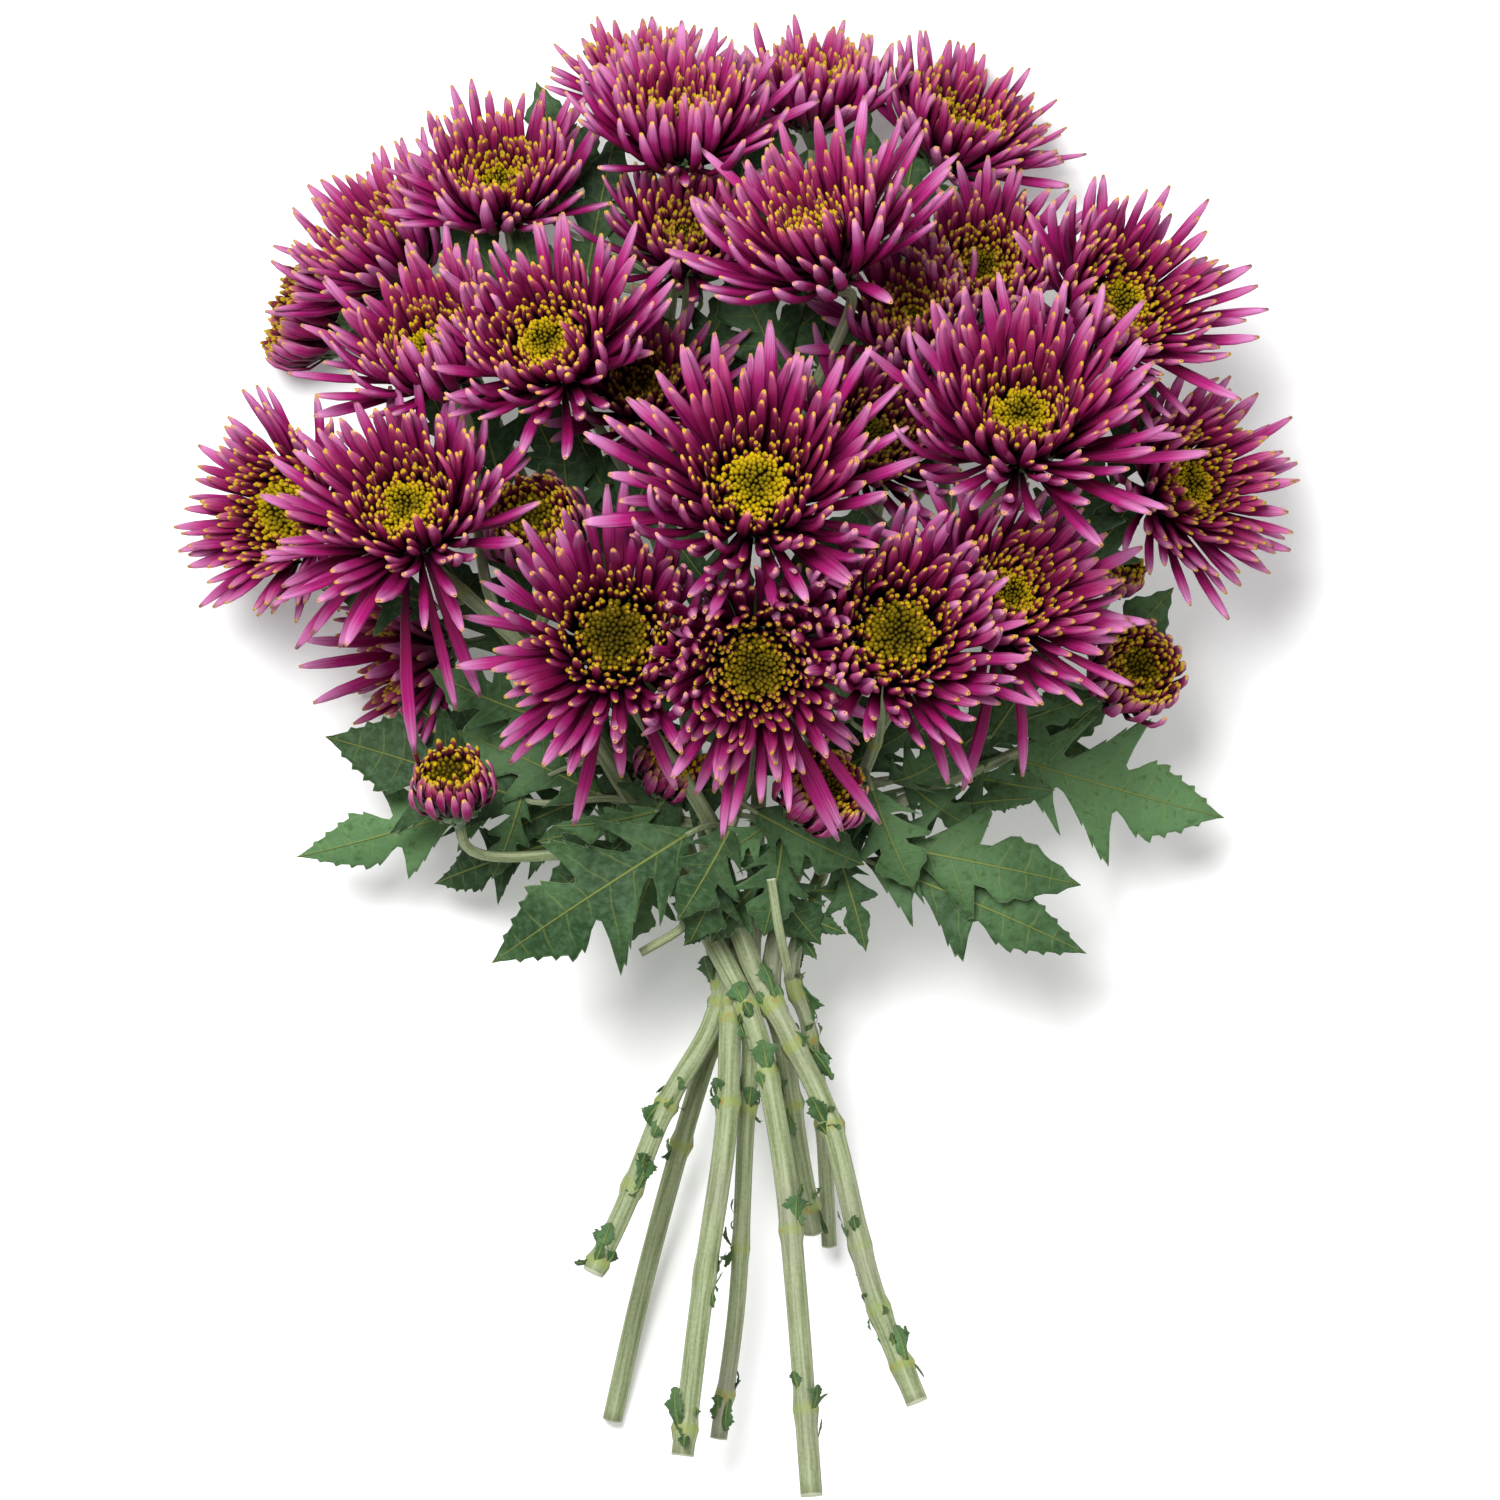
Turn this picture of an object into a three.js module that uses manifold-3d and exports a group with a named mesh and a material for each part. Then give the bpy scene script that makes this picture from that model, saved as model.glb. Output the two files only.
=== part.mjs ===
// A hand-tied bunch of spray chrysanthemums with quilled ray florets, lying on its back on a flat surface.
// Millimetres. +X is the bunch's right, +Y runs from the cut ends to the blooms, and +Z is up, off the
// surface. The origin is on the surface, under the middle of the bunch.
import * as THREE from "three";
import { mergeVertices } from "three/addons/utils/BufferGeometryUtils.js";
import Module from "manifold-3d";

const wasm = await Module();
wasm.setup();

// Driving dimensions
const GAP = 0.3; // left between pieces that touch
const PEDICEL_RADIUS = 1.7; // the bare stalk under a bloom
const FORK_RADIUS = 2.1; // a side branch where it leaves its stem
const CALYX_LENGTH = 7; // the green cup under a bloom
const APPROACH = 18; // the straight end of a stalk under its bloom
const CALYX_LIP = 1.02; // the cup's brim against the foot of the head that stands on it
const UPPER_STEPS = 5; // straight lengths of a stem above the band
const TIE_Y = -50; // where the band holds the stems
const TIE_WIDTH = 4;
const TIE_THICKNESS = 1.6;
const TIE_SIDES = 20;

// Florets
const SHORTEST = 7; // a floret with less room than this is left out
const SHORTEN = 0.94; // a floret that would meet something is tried again at this share of its length
const FULL_CURL = 0.7; // a floret shorter than this share of its bloom's reach curls less
const HEAD_SHARE = 0.2; // of a bloom's reach, taken up by its head
const HEART = 0.2; // the middle of a bloom lies this share of its reach in front of its disc
const LEAST_ROOM = 0.36; // the share of the way to its neighbour that the smaller bloom keeps
const MIDDLE_CLEARANCE = 2.6; // from a floret's middle line to a stalk or a leaf
const CORNER_CLEARANCE = 0.5; // from a floret's corners to a stalk or a leaf
const LIFT_STEP = 4; // degrees
const LIFT_CHANGE = 8; // the most that florets half a step apart differ in lift, in degrees
const WEDGE = 0.75; // the share of its own sector of the bloom that a floret may fill
const NECK_WIDTH = 0.4; // of a very short floret, as a share of a full one's width
const TOWARD_TIP = 0.8; // the width of a floret's second joint against its first
const FLORET_SECTION = [[0, 0.5], [-1, -0.32], [1, -0.32]]; // [across, up] in half widths: a keeled quill
const DISC_SIDES = 9; // of a disc that is a piece of its own
const DISC_RELIEF = [0.22, -0.12]; // disc florets stand above and below the crown, as shares of its height
const DIMPLE = 0.6; // the height of a disc's middle against its crown
const GOLDEN_TURN = 2.4; // radians between the first florets of one bloom and of the next

// Leaves
const LEAF_THICKNESS = 1.0;
const LEAF_SKEW = [0.05, -0.03]; // how far up the midrib the left and right edges are shifted
const LEAF_FOLD = 0.16; // how far the blade falls away from its midrib, as a share of its half width
const LEAF_ROOM = 3; // kept clear to each side of a leaf's side veins
const LEAF_STALK = [1.5, 1.3, 1.1]; // radii from the stem to the blade
const LEAF_STALK_END = 0.12; // how far the stalk runs on inside the blade, as a share of its length
const STUB_RADII = [2.4, 1.2];
const STUB_LEAN = [0.75, 0.66]; // outward and up the stem

const PETAL_GREEN = 0x2f5a34;
const STEM_GREEN = 0x9dab7c;
const RAY_PURPLE = 0x9c2a78;
const DISC_YELLOW = 0xa79a14;
const BAND_GREEN = 0x4d6a45;

const DEGREE = Math.PI / 180;
const UP = new THREE.Vector3(0, 0, 1);

// How far open a bloom is. Shares are of its reach, angles are degrees above the bloom's own plane.
// profile: [radius, height] of the rings of the head that carry the whorls, from the calyx up. A whorl's
// florets leave the head at its rise and turn up by its curl on the way to their tips.
const STAGES = {
  open: {
    petals: 12,
    profile: [[0.12, -0.26], [0.21, -0.21], [0.265, -0.1], [0.23, 0]],
    whorls: [
      { rise: 2, curl: 8, share: 1, joints: [0.4, 0.82], width: 4.2 },
      { rise: 22, curl: 14, share: 0.92, joints: [0.62], width: 4.1 },
      { rise: 52, curl: 14, share: 0.6, joints: [], width: 2.7 },
    ],
    lift: 44,
    disc: { radius: 0.2, height: 0.09 },
  },
  half: {
    petals: 9,
    profile: [[0.2, -0.6], [0.42, -0.42], [0.52, -0.2], [0.42, 0]],
    whorls: [
      { rise: -4, curl: 84, share: 1, joints: [0.32, 0.7], width: 2.3 },
      { rise: 32, curl: 56, share: 0.92, joints: [0.55], width: 2.1 },
      { rise: 70, curl: 22, share: 0.68, joints: [], width: 1.7 },
    ],
    lift: 12,
    disc: { radius: 0.36, height: 0.14 },
  },
  bud: {
    petals: 9,
    profile: [[0.3, -0.95], [0.82, -0.7], [1, -0.2], [0.66, 0.16]],
    whorls: [],
    lift: 0,
    disc: { radius: 0.5, height: 0.3 },
  },
};

// Each bloom: where its disc sits, the compass turn and the lean of its face (lean 0 looks straight up),
// the reach of its longest florets, its stage if it isn't open, its stem, where on that stem its stalk forks
// off (0 at the band, 1 at the stem's own top bloom; a top bloom has none), and whether its disc is a piece of
// its own.
const BLOOMS = [
  { id: "01", at: [-77, 187, 72], turn: 100, lean: 48, reach: 46, stem: "3", fork: 0.62, disc: true },
  { id: "02", at: [-114, 168, 42], turn: 130, lean: 64, reach: 49, stem: "1", disc: true },
  { id: "03", at: [-143, 146, 21.5], turn: 163, lean: 80, reach: 28, stage: "half", stem: "1", fork: 0.62 },
  { id: "04", at: [-98, 134, 104], turn: 115, lean: 48, reach: 50, stem: "5", fork: 0.55, disc: true },
  { id: "05", at: [-61, 135, 128], turn: 120, lean: 34, reach: 52, stem: "3", fork: 0.36, disc: true },
  { id: "06", at: [-19, 206, 86], turn: 90, lean: 55, reach: 49, stem: "3", disc: true },
  { id: "07", at: [24, 217, 40], turn: 88, lean: 70, reach: 42, stem: "2", fork: 0.6, disc: true },
  { id: "08", at: [71, 205, 33], turn: 66, lean: 62, reach: 46, stem: "2", disc: true },
  { id: "09", at: [-17, 170, 90], turn: 90, lean: 40, reach: 44, stem: "3", fork: 0.52 },
  { id: "10", at: [25, 169, 128], turn: 112, lean: 52, reach: 58, stem: "4", disc: true },
  { id: "11", at: [78, 160, 84], turn: 80, lean: 32, reach: 42, stem: "2", fork: 0.5, disc: true },
  { id: "12", at: [122, 148, 92], turn: 45, lean: 36, reach: 52, stem: "2", fork: 0.36, disc: true },
  { id: "13", at: [56, 143, 94], turn: 95, lean: 38, reach: 44, stem: "6", fork: 0.55 },
  { id: "14", at: [90, 111, 140], turn: 85, lean: 38, reach: 62, stem: "6", disc: true },
  { id: "15", at: [144, 91, 70], turn: 18, lean: 42, reach: 49, stem: "6", fork: 0.42, disc: true },
  { id: "16", at: [5, 89, 152], turn: 90, lean: 24, reach: 63, stem: "4", fork: 0.4, disc: true },
  { id: "17", at: [42, 105, 106], turn: 60, lean: 30, reach: 46, stem: "6", fork: 0.48 },
  { id: "18", at: [-31, 121, 84], turn: 90, lean: 34, reach: 43, stem: "4", fork: 0.45 },
  { id: "19", at: [-106, 82, 124], turn: 112, lean: 34, reach: 55, stem: "5", disc: true },
  { id: "20", at: [-146, 82, 66], turn: 170, lean: 40, reach: 44, stem: "1", fork: 0.5, disc: true },
  { id: "21", at: [-66, 79, 98], turn: 110, lean: 36, reach: 27, stage: "half", stem: "5", fork: 0.5 },
  { id: "22", at: [-40, 41, 140], turn: 100, lean: 15, reach: 55, stem: "7", fork: 0.42, disc: true },
  { id: "23", at: [5, 32, 150], turn: 280, lean: 8, reach: 54, stem: "7", disc: true },
  { id: "24", at: [50, 42, 146], turn: 55, lean: 20, reach: 55, stem: "8", disc: true },
  { id: "25", at: [86, 55, 121], turn: 45, lean: 32, reach: 52, stem: "8", fork: 0.48, disc: true },
  { id: "26", at: [128, 31, 66], turn: 35, lean: 34, reach: 26, stage: "half", stem: "8", fork: 0.34 },
  { id: "27", at: [-93, -3, 96], turn: 100, lean: 48, reach: 16, stage: "bud", stem: "5", fork: 0.3 },
  { id: "28", at: [26, -7, 112], turn: 45, lean: 42, reach: 24, stage: "half", stem: "8", fork: 0.24 },
  { id: "29", at: [-22, 1, 84], turn: 60, lean: 45, reach: 13, stage: "bud", stem: "7", fork: 0.3 },
  { id: "30", at: [-106, 36, 34], turn: 192, lean: 74, reach: 46, stem: "1", fork: 0.34 },
  { id: "31", at: [124, 63, 40], turn: 60, lean: 50, reach: 9, stage: "bud", stem: "6", fork: 0.36 },
  { id: "32", at: [-32, 223, 28], turn: 95, lean: 74, reach: 37, stem: "3", fork: 0.7 },
];

// Each stem: its radius, the route of its lower part from the cut end up to the band, and the points that
// its upper part passes on the way to its top bloom. The lower parts cross in a twist at the band.
const STEMS = {
  1: {
    radius: 3.5,
    lower: [[-47.4, -163.4, 62], [-37, -141.6, 58], [-24, -109.6, 51], [-9, -83, 44]],
    band: [-7.2, -62, 41],
    upper: [[-27, 0, 34], [-60, 70, 24]],
    top: "02",
  },
  2: {
    radius: 3.3,
    lower: [[-41.6, -212.6, 2.9], [-32, -170.4, 13], [-19.2, -122.4, 26], [-8, -86, 34]],
    band: [1.6, -62, 42.9],
    upper: [[24, 10, 30], [48, 100, 26]],
    top: "08",
  },
  3: {
    radius: 3.8,
    lower: [[-18.6, -222.4, 62], [-12.2, -170.4, 59], [-4.8, -119.8, 54], [-3.4, -90, 50.5]],
    band: [-3.4, -62, 47.8],
    upper: [[-16, 10, 50], [-26, 100, 40]],
    top: "06",
  },
  4: {
    radius: 2.9,
    lower: [[-7, -217.8, 30], [-1, -173.6, 35], [1.6, -122.4, 41], [3.2, -96, 44.5]],
    band: [3.9, -62, 48.8],
    upper: [[7, 10, 56], [12, 90, 62]],
    top: "10",
  },
  5: {
    radius: 3.7,
    lower: [[23, -234.4, 86], [18.2, -170.4, 75], [13.5, -125, 67], [5.5, -87, 60.5]],
    band: [-5.7, -62, 55],
    upper: [[-34, -12, 62], [-64, 32, 82]],
    top: "19",
  },
  6: {
    radius: 3.4,
    lower: [[24, -151.2, 24], [19.2, -125.6, 33], [14.4, -92, 43]],
    band: [10.6, -62, 48.7],
    upper: [[28, 0, 54], [56, 64, 68]],
    top: "14",
  },
  7: {
    radius: 3.7,
    lower: [[57, -204.6, 79], [42.2, -167.2, 73], [29.4, -116, 65], [16, -87, 61]],
    band: [3, -62, 55.2],
    upper: [[-6, -30, 68], [2, 0, 98]],
    top: "23",
  },
  8: {
    radius: 2.6,
    lower: [[29, -155.7, 12], [26.5, -112, 28], [22, -84, 41]],
    band: [17.3, -62, 48.6],
    upper: [[32, -20, 62], [44, 10, 92]],
    top: "24",
  },
};

// Each large leaf: its stem, where its stalk starts (a share of the stem from the band to the top bloom),
// where its blade starts and ends, its half width, the turn of its blade about its length in degrees and
// how high the blade arches.
const LEAVES = [
  { stem: "7", from: 0.3, base: [-14, -20, 92], tip: [-80, -63, 88], half: 29, roll: 4, arch: 8 },
  { stem: "1", from: 0.26, base: [-76, -10, 44], tip: [-144, -30, 36], half: 17, roll: -8, arch: 5 },
  { stem: "5", from: 0.24, base: [-66, -12, 60], tip: [-134, 10, 56], half: 24, roll: 6, arch: 6 },
  { stem: "1", from: 0.2, base: [-58, -24, 40], tip: [-100, -38, 26], half: 13, roll: 10, arch: 4 },
  { stem: "8", from: 0.22, base: [40, -30, 76], tip: [112, -60, 70], half: 29, roll: -6, arch: 8 },
  { stem: "6", from: 0.26, base: [84, 4, 50], tip: [157, -17, 42], half: 23, roll: 4, arch: 6 },
  { stem: "8", from: 0.3, base: [62, -14, 72], tip: [94, -10, 74], half: 9, roll: -12, arch: 3 },
  { stem: "3", from: 0.06, base: [-10, -40, 70], tip: [-24, -58, 74], half: 9, roll: -15, arch: 3 },
  { stem: "4", from: 0.05, base: [14, -44, 64], tip: [34, -56, 70], half: 8, roll: 12, arch: 3 },
];

// Torn leaf stalks left on the bare parts: their stem, how far up it they stand (0 at the cut end, 1 at the
// band), the turn about it in degrees (0 is the bunch's right, 90 is up), and their length.
const STUBS = [
  { stem: "1", at: 0.04, turn: 165, length: 13 },
  { stem: "1", at: 0.36, turn: 20, length: 8 },
  { stem: "1", at: 0.62, turn: 170, length: 8 },
  { stem: "2", at: 0.5, turn: 160, length: 6 },
  { stem: "3", at: 0.04, turn: 175, length: 12 },
  { stem: "3", at: 0.3, turn: 10, length: 8 },
  { stem: "3", at: 0.58, turn: 165, length: 8 },
  { stem: "4", at: 0.08, turn: 15, length: 7 },
  { stem: "4", at: 0.34, turn: 170, length: 7 },
  { stem: "5", at: 0.1, turn: 30, length: 9 },
  { stem: "5", at: 0.28, turn: 150, length: 9 },
  { stem: "6", at: 0.12, turn: 10, length: 9 },
  { stem: "7", at: 0.08, turn: 30, length: 11 },
  { stem: "7", at: 0.32, turn: 5, length: 9 },
  { stem: "7", at: 0.5, turn: 160, length: 9 },
  { stem: "7", at: 0.72, turn: 20, length: 12 },
  { stem: "8", at: 0.3, turn: 20, length: 10 },
];

const vector = ([x, y, z]) => new THREE.Vector3(x, y, z);

function solidOf(geometry) {
  const bare = geometry.clone();
  bare.deleteAttribute("normal");
  bare.deleteAttribute("uv");
  const merged = mergeVertices(bare, 1e-4);
  return new wasm.Manifold(
    new wasm.Mesh({
      numProp: 3,
      vertProperties: merged.attributes.position.array,
      triVerts: new Uint32Array(merged.index.array),
    }),
  );
}

function geometryOf(solid) {
  const { vertProperties, triVerts } = solid.getMesh();
  return new THREE.BufferGeometry()
    .setAttribute("position", new THREE.BufferAttribute(vertProperties, 3))
    .setIndex(new THREE.BufferAttribute(triVerts, 1));
}

function meshOf(name, geometry, color, roughness) {
  geometry.computeVertexNormals();
  const material = new THREE.MeshStandardMaterial({ color, roughness, metalness: 0, flatShading: true });
  const mesh = new THREE.Mesh(geometry, material);
  mesh.name = name;
  return mesh;
}

// Blooms

const bloomOf = (id) => BLOOMS.find((bloom) => bloom.id === id);
const stageOf = (bloom) => STAGES[bloom.stage ?? "open"];

function facingOf({ turn, lean }) {
  return new THREE.Vector3(
    Math.sin(lean * DEGREE) * Math.cos(turn * DEGREE),
    Math.sin(lean * DEGREE) * Math.sin(turn * DEGREE),
    Math.cos(lean * DEGREE),
  );
}

// The bloom's own axes: n out of its face, side level with the surface, and rear across both.
function axesOf(bloom) {
  const n = facingOf(bloom);
  const side = new THREE.Vector3(-Math.sin(bloom.turn * DEGREE), Math.cos(bloom.turn * DEGREE), 0);
  const rear = new THREE.Vector3().crossVectors(n, side);
  return { n, side, rear };
}

// The flat walls that a bloom's florets stay inside: the surface first, then one between it and each bloom
// close by.
function wallsOf(bloom) {
  const heart = (b) => vector(b.at).addScaledVector(facingOf(b), HEART * b.reach);
  const here = heart(bloom);
  const walls = [{ out: new THREE.Vector3(0, 0, -1), point: new THREE.Vector3(0, 0, 0) }];
  for (const other of BLOOMS) {
    if (other === bloom) continue;
    const out = heart(other).sub(here);
    const distance = out.length();
    if (distance > bloom.reach + other.reach) continue;
    out.normalize();
    const share = (distance ** 2 + bloom.reach ** 2 - other.reach ** 2) / (2 * distance);
    const from = THREE.MathUtils.clamp(share, LEAST_ROOM * distance, (1 - LEAST_ROOM) * distance);
    walls.push({ out, point: here.clone().addScaledVector(out, from - GAP / 2) });
  }
  return walls;
}

const crosses = (walls, points) =>
  points.some((p) => walls.slice(1).some(({ out, point }) => p.clone().sub(point).dot(out) > 0));

// The pieces of other blooms' stalks, of the stems and of the leaves that lie within a bloom's reach.
function stalksNear(bloom) {
  const here = vector(bloom.at);
  const near = [];
  const closest = new THREE.Vector3();
  const keep = (from, to, radius) => {
    const line = new THREE.Line3(from, to);
    line.closestPointToPoint(here, true, closest);
    if (closest.distanceTo(here) < bloom.reach + radius + MIDDLE_CLEARANCE) near.push({ line, radius });
  };
  for (const { owner, sections } of stalks()) {
    const count = owner.id === bloom.id ? sections.length - 3 : sections.length;
    for (let i = 1; i < count; i++) {
      const [from, to] = [sections[i - 1], sections[i]];
      keep(from.centre, to.centre, Math.max(from.radius, to.radius));
    }
  }
  for (const leaf of LEAVES) {
    for (const [u, v] of LEAF_EDGE) {
      const rib = leafPoint(leaf, u, 0, 0);
      keep(rib, leafPoint(leaf, u + LEAF_SKEW[0], v, 0), LEAF_ROOM);
      keep(rib, leafPoint(leaf, u + LEAF_SKEW[1], -v, 0), LEAF_ROOM);
    }
  }
  return near;
}

function strikes(near, points, margin) {
  const closest = new THREE.Vector3();
  const distance = (line, p) => line.closestPointToPoint(p, true, closest).distanceTo(p);
  return points.some((p) => near.some(({ line, radius }) => distance(line, p) < radius + margin));
}

// Where a floret has got to, a share of its way along: out along its spoke and up its bloom's axis.
function onFloret(whorl, lift, length, reach, share) {
  const start = whorl.rise * DEGREE;
  const full = whorl.curl + 2 * lift * (1 - whorl.rise / 90);
  const turned = full * Math.min(1, length / (FULL_CURL * reach)) * share * DEGREE;
  const end = start + turned;
  return {
    out: (length * share * (Math.sin(end) - Math.sin(start))) / turned,
    up: (length * share * (Math.cos(start) - Math.cos(end))) / turned,
    angle: end,
  };
}

// How far a bloom's florets turn up to clear the blooms round it, at each of twice as many azimuths as it
// has florets in a whorl. Florets side by side turn up by nearly the same.
function liftsOf(bloom, stage, walls, axes, spin) {
  const count = 2 * stage.petals;
  const trial = 0.62 * bloom.reach; // length of the floret that is tried
  const root = { out: 0.17 * bloom.reach, up: -0.24 * bloom.reach };
  const belowFloor = -4; // a tip may reach this low before its floret turns up
  const bare = Array.from({ length: count }, (_, i) => {
    const spoke = spokeAt(axes, spin + (i * Math.PI) / stage.petals);
    for (let lift = 0; lift < stage.lift; lift += LIFT_STEP) {
      const points = [0.5, 0.8, 1].map((share) => {
        const { out, up } = onFloret(stage.whorls[0], lift, trial, bloom.reach, share);
        return vector(bloom.at)
          .addScaledVector(spoke, root.out + out)
          .addScaledVector(axes.n, root.up + up);
      });
      if (!crosses(walls, points) && points.every((p) => p.z > belowFloor)) return lift;
    }
    return stage.lift;
  });
  const apart = (i, j) => Math.min(Math.abs(i - j), count - Math.abs(i - j));
  return bare.map((_, i) => Math.max(...bare.map((lift, j) => lift - LIFT_CHANGE * apart(i, j))));
}

const spokeAt = (axes, azimuth) =>
  axes.side.clone().multiplyScalar(Math.cos(azimuth)).addScaledVector(axes.rear, Math.sin(azimuth));

// A bloom's head as rings of points, with one floret drawn out of every other face of each ring.
// With no disc of its own the head is closed by the disc's low relief.
function bloomGeometry(bloom, spin) {
  const stage = stageOf(bloom);
  const walls = wallsOf(bloom);
  const near = stalksNear(bloom);
  const axes = axesOf(bloom);
  const seat = vector(bloom.at);
  const step = (2 * Math.PI) / stage.petals;
  const points = [];
  const faces = [];
  const add = (point) => points.push(point) - 1;
  const place = (radius, azimuth, height) =>
    seat
      .clone()
      .addScaledVector(axes.side, radius * Math.cos(azimuth))
      .addScaledVector(axes.rear, radius * Math.sin(azimuth))
      .addScaledVector(axes.n, height);

  const rings = stage.profile.map(([radius, height], k) =>
    Array.from({ length: stage.petals }, (_, i) =>
      add(place(radius * bloom.reach, (i + k / 2) * step + spin, height * bloom.reach)),
    ),
  );

  const lifts = stage.whorls.length ? liftsOf(bloom, stage, walls, axes, spin) : [];
  const floret = (root, whorl, half) => {
    const azimuth = spin + (half * step) / 2;
    const lift = lifts[half % lifts.length];
    const spoke = spokeAt(axes, azimuth);
    const across = new THREE.Vector3().crossVectors(axes.n, spoke);
    const start = root.reduce((sum, i) => sum.add(points[i]), new THREE.Vector3()).divideScalar(3);
    const free = (whorl.share - HEAD_SHARE) * bloom.reach;
    const pointAt = (length, share, a, b) => {
      const { out, up, angle } = onFloret(whorl, lift, length, bloom.reach, share);
      return start
        .clone()
        .addScaledVector(spoke, out - b * Math.sin(angle))
        .addScaledVector(axes.n, up + b * Math.cos(angle))
        .addScaledVector(across, a);
    };
    const rootRadius = start.clone().sub(seat).dot(spoke);
    const sectionsFor = (length) => {
      const width = whorl.width * THREE.MathUtils.lerp(NECK_WIDTH, 1, length / free);
      return whorl.joints.map((share, j) => {
        const radius = rootRadius + onFloret(whorl, lift, length, bloom.reach, share).out;
        const size = Math.min(width * (j ? TOWARD_TIP : 1), WEDGE * radius * Math.tan(step / 2));
        return FLORET_SECTION.map(([a, b]) => pointAt(length, share, a * size, b * size));
      });
    };
    const meets = (length) => {
      const middles = [0.3, 0.45, 0.6, 0.75, 0.9, 1].map((share) => pointAt(length, share, 0, 0));
      const corners = sectionsFor(length).flat();
      if (crosses(walls, [...corners, middles.at(-1)])) return true;
      return strikes(near, middles, MIDDLE_CLEARANCE) || strikes(near, corners, CORNER_CLEARANCE);
    };
    let length = free;
    while (length > SHORTEST && meets(length)) length *= SHORTEN;
    if (length < SHORTEST) {
      faces.push(root);
      return;
    }
    let previous = root;
    for (const section of sectionsFor(length)) {
      const next = section.map((point) => add(offFloor(point)));
      for (let e = 0; e < 3; e++) {
        const f = (e + 1) % 3;
        faces.push([previous[e], previous[f], next[f]], [previous[e], next[f], next[e]]);
      }
      previous = next;
    }
    const tip = add(offFloor(pointAt(length, 1, 0, 0)));
    for (let e = 0; e < 3; e++) faces.push([previous[e], previous[(e + 1) % 3], tip]);
  };

  for (let k = 0; k + 1 < rings.length; k++) {
    for (let i = 0; i < stage.petals; i++) {
      const next = (i + 1) % stage.petals;
      const [low, high] = [rings[k], rings[k + 1]];
      const root = [high[i], low[i], low[next]];
      if (stage.whorls[k]) floret(root, stage.whorls[k], 2 * i + k + 1);
      else faces.push(root);
      faces.push([low[next], high[next], high[i]]);
    }
  }

  const close = (ring, middle, outward) =>
    ring.forEach((at, i) => {
      const next = ring[(i + 1) % ring.length];
      faces.push(outward ? [at, next, middle] : [next, at, middle]);
    });
  close(rings[0], add(place(0, 0, stage.profile[0][1] * bloom.reach)), false);
  const last = rings.at(-1);
  if (bloom.disc) {
    close(last, add(place(0, 0, 0)), true);
  } else {
    const topAzimuth = spin + ((rings.length - 1) / 2) * step;
    const crown = crownRing(bloom, stage.petals, 0.72, topAzimuth, place, add);
    crown.forEach((at, i) => {
      const next = (i + 1) % crown.length;
      faces.push([last[i], last[next], at], [last[next], crown[next], at]);
    });
    close(crown, add(place(0, 0, DIMPLE * stage.disc.height * bloom.reach)), true);
  }
  return facetGeometry(points, faces);
}

// The raised ring of a disc: its florets as alternate high and low points.
function crownRing(bloom, sides, share, azimuth, place, add) {
  const { radius, height } = stageOf(bloom).disc;
  return Array.from({ length: sides }, (_, i) => {
    const relief = 1 + DISC_RELIEF[(i + 1) % 2];
    const turn = azimuth + ((i + 0.5) * 2 * Math.PI) / sides;
    return add(place(share * radius * bloom.reach, turn, relief * height * bloom.reach));
  });
}

// The disc of an open bloom: a low crown of florets with a dimple, on its seat in the head.
function discGeometry(bloom, spin) {
  const { radius: brim, height: crownHeight } = stageOf(bloom).disc;
  const axes = axesOf(bloom);
  const seat = vector(bloom.at).addScaledVector(axes.n, GAP);
  const points = [];
  const faces = [];
  const add = (point) => points.push(point) - 1;
  const place = (radius, azimuth, height) =>
    seat
      .clone()
      .addScaledVector(axes.side, radius * Math.cos(azimuth))
      .addScaledVector(axes.rear, radius * Math.sin(azimuth))
      .addScaledVector(axes.n, height);
  const foot = Array.from({ length: DISC_SIDES }, (_, i) =>
    add(place(0.96 * brim * bloom.reach, spin + (i * 2 * Math.PI) / DISC_SIDES, 0)),
  );
  const crown = crownRing(bloom, DISC_SIDES, 0.82, spin, place, add);
  const low = add(place(0, 0, 0));
  const high = add(place(0, 0, DIMPLE * crownHeight * bloom.reach));
  foot.forEach((at, i) => {
    const next = (i + 1) % DISC_SIDES;
    faces.push([at, foot[next], crown[i]], [foot[next], crown[next], crown[i]]);
    faces.push([foot[next], at, low], [crown[i], crown[next], high]);
  });
  return facetGeometry(points, faces);
}

// What would reach below the surface lies flat on it.
function offFloor(point) {
  point.z = Math.max(point.z, 0);
  return point;
}

function facetGeometry(points, faces) {
  const position = new Float32Array(points.flatMap((p) => p.toArray()));
  return new THREE.BufferGeometry()
    .setAttribute("position", new THREE.BufferAttribute(position, 3))
    .setIndex(faces.flat());
}

// Stems

// Where a bloom's stalk ends: the foot of its head, a gap below it.
function footOf(bloom) {
  const depth = -stageOf(bloom).profile[0][1] * bloom.reach + GAP;
  return vector(bloom.at).addScaledVector(facingOf(bloom), -depth);
}

// The last points of a stalk, straight up the bloom's axis.
function endOf(bloom) {
  const foot = footOf(bloom);
  const n = facingOf(bloom);
  const cup = Math.min(CALYX_LENGTH, 0.5 * bloom.reach);
  return [
    foot.clone().addScaledVector(n, -Math.min(APPROACH, 0.55 * bloom.reach + 3)),
    foot.clone().addScaledVector(n, -cup),
    foot,
  ];
}

function cupRadii(bloom) {
  const brim = stageOf(bloom).profile[0][0] * bloom.reach * CALYX_LIP;
  return [PEDICEL_RADIUS, brim];
}

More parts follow.
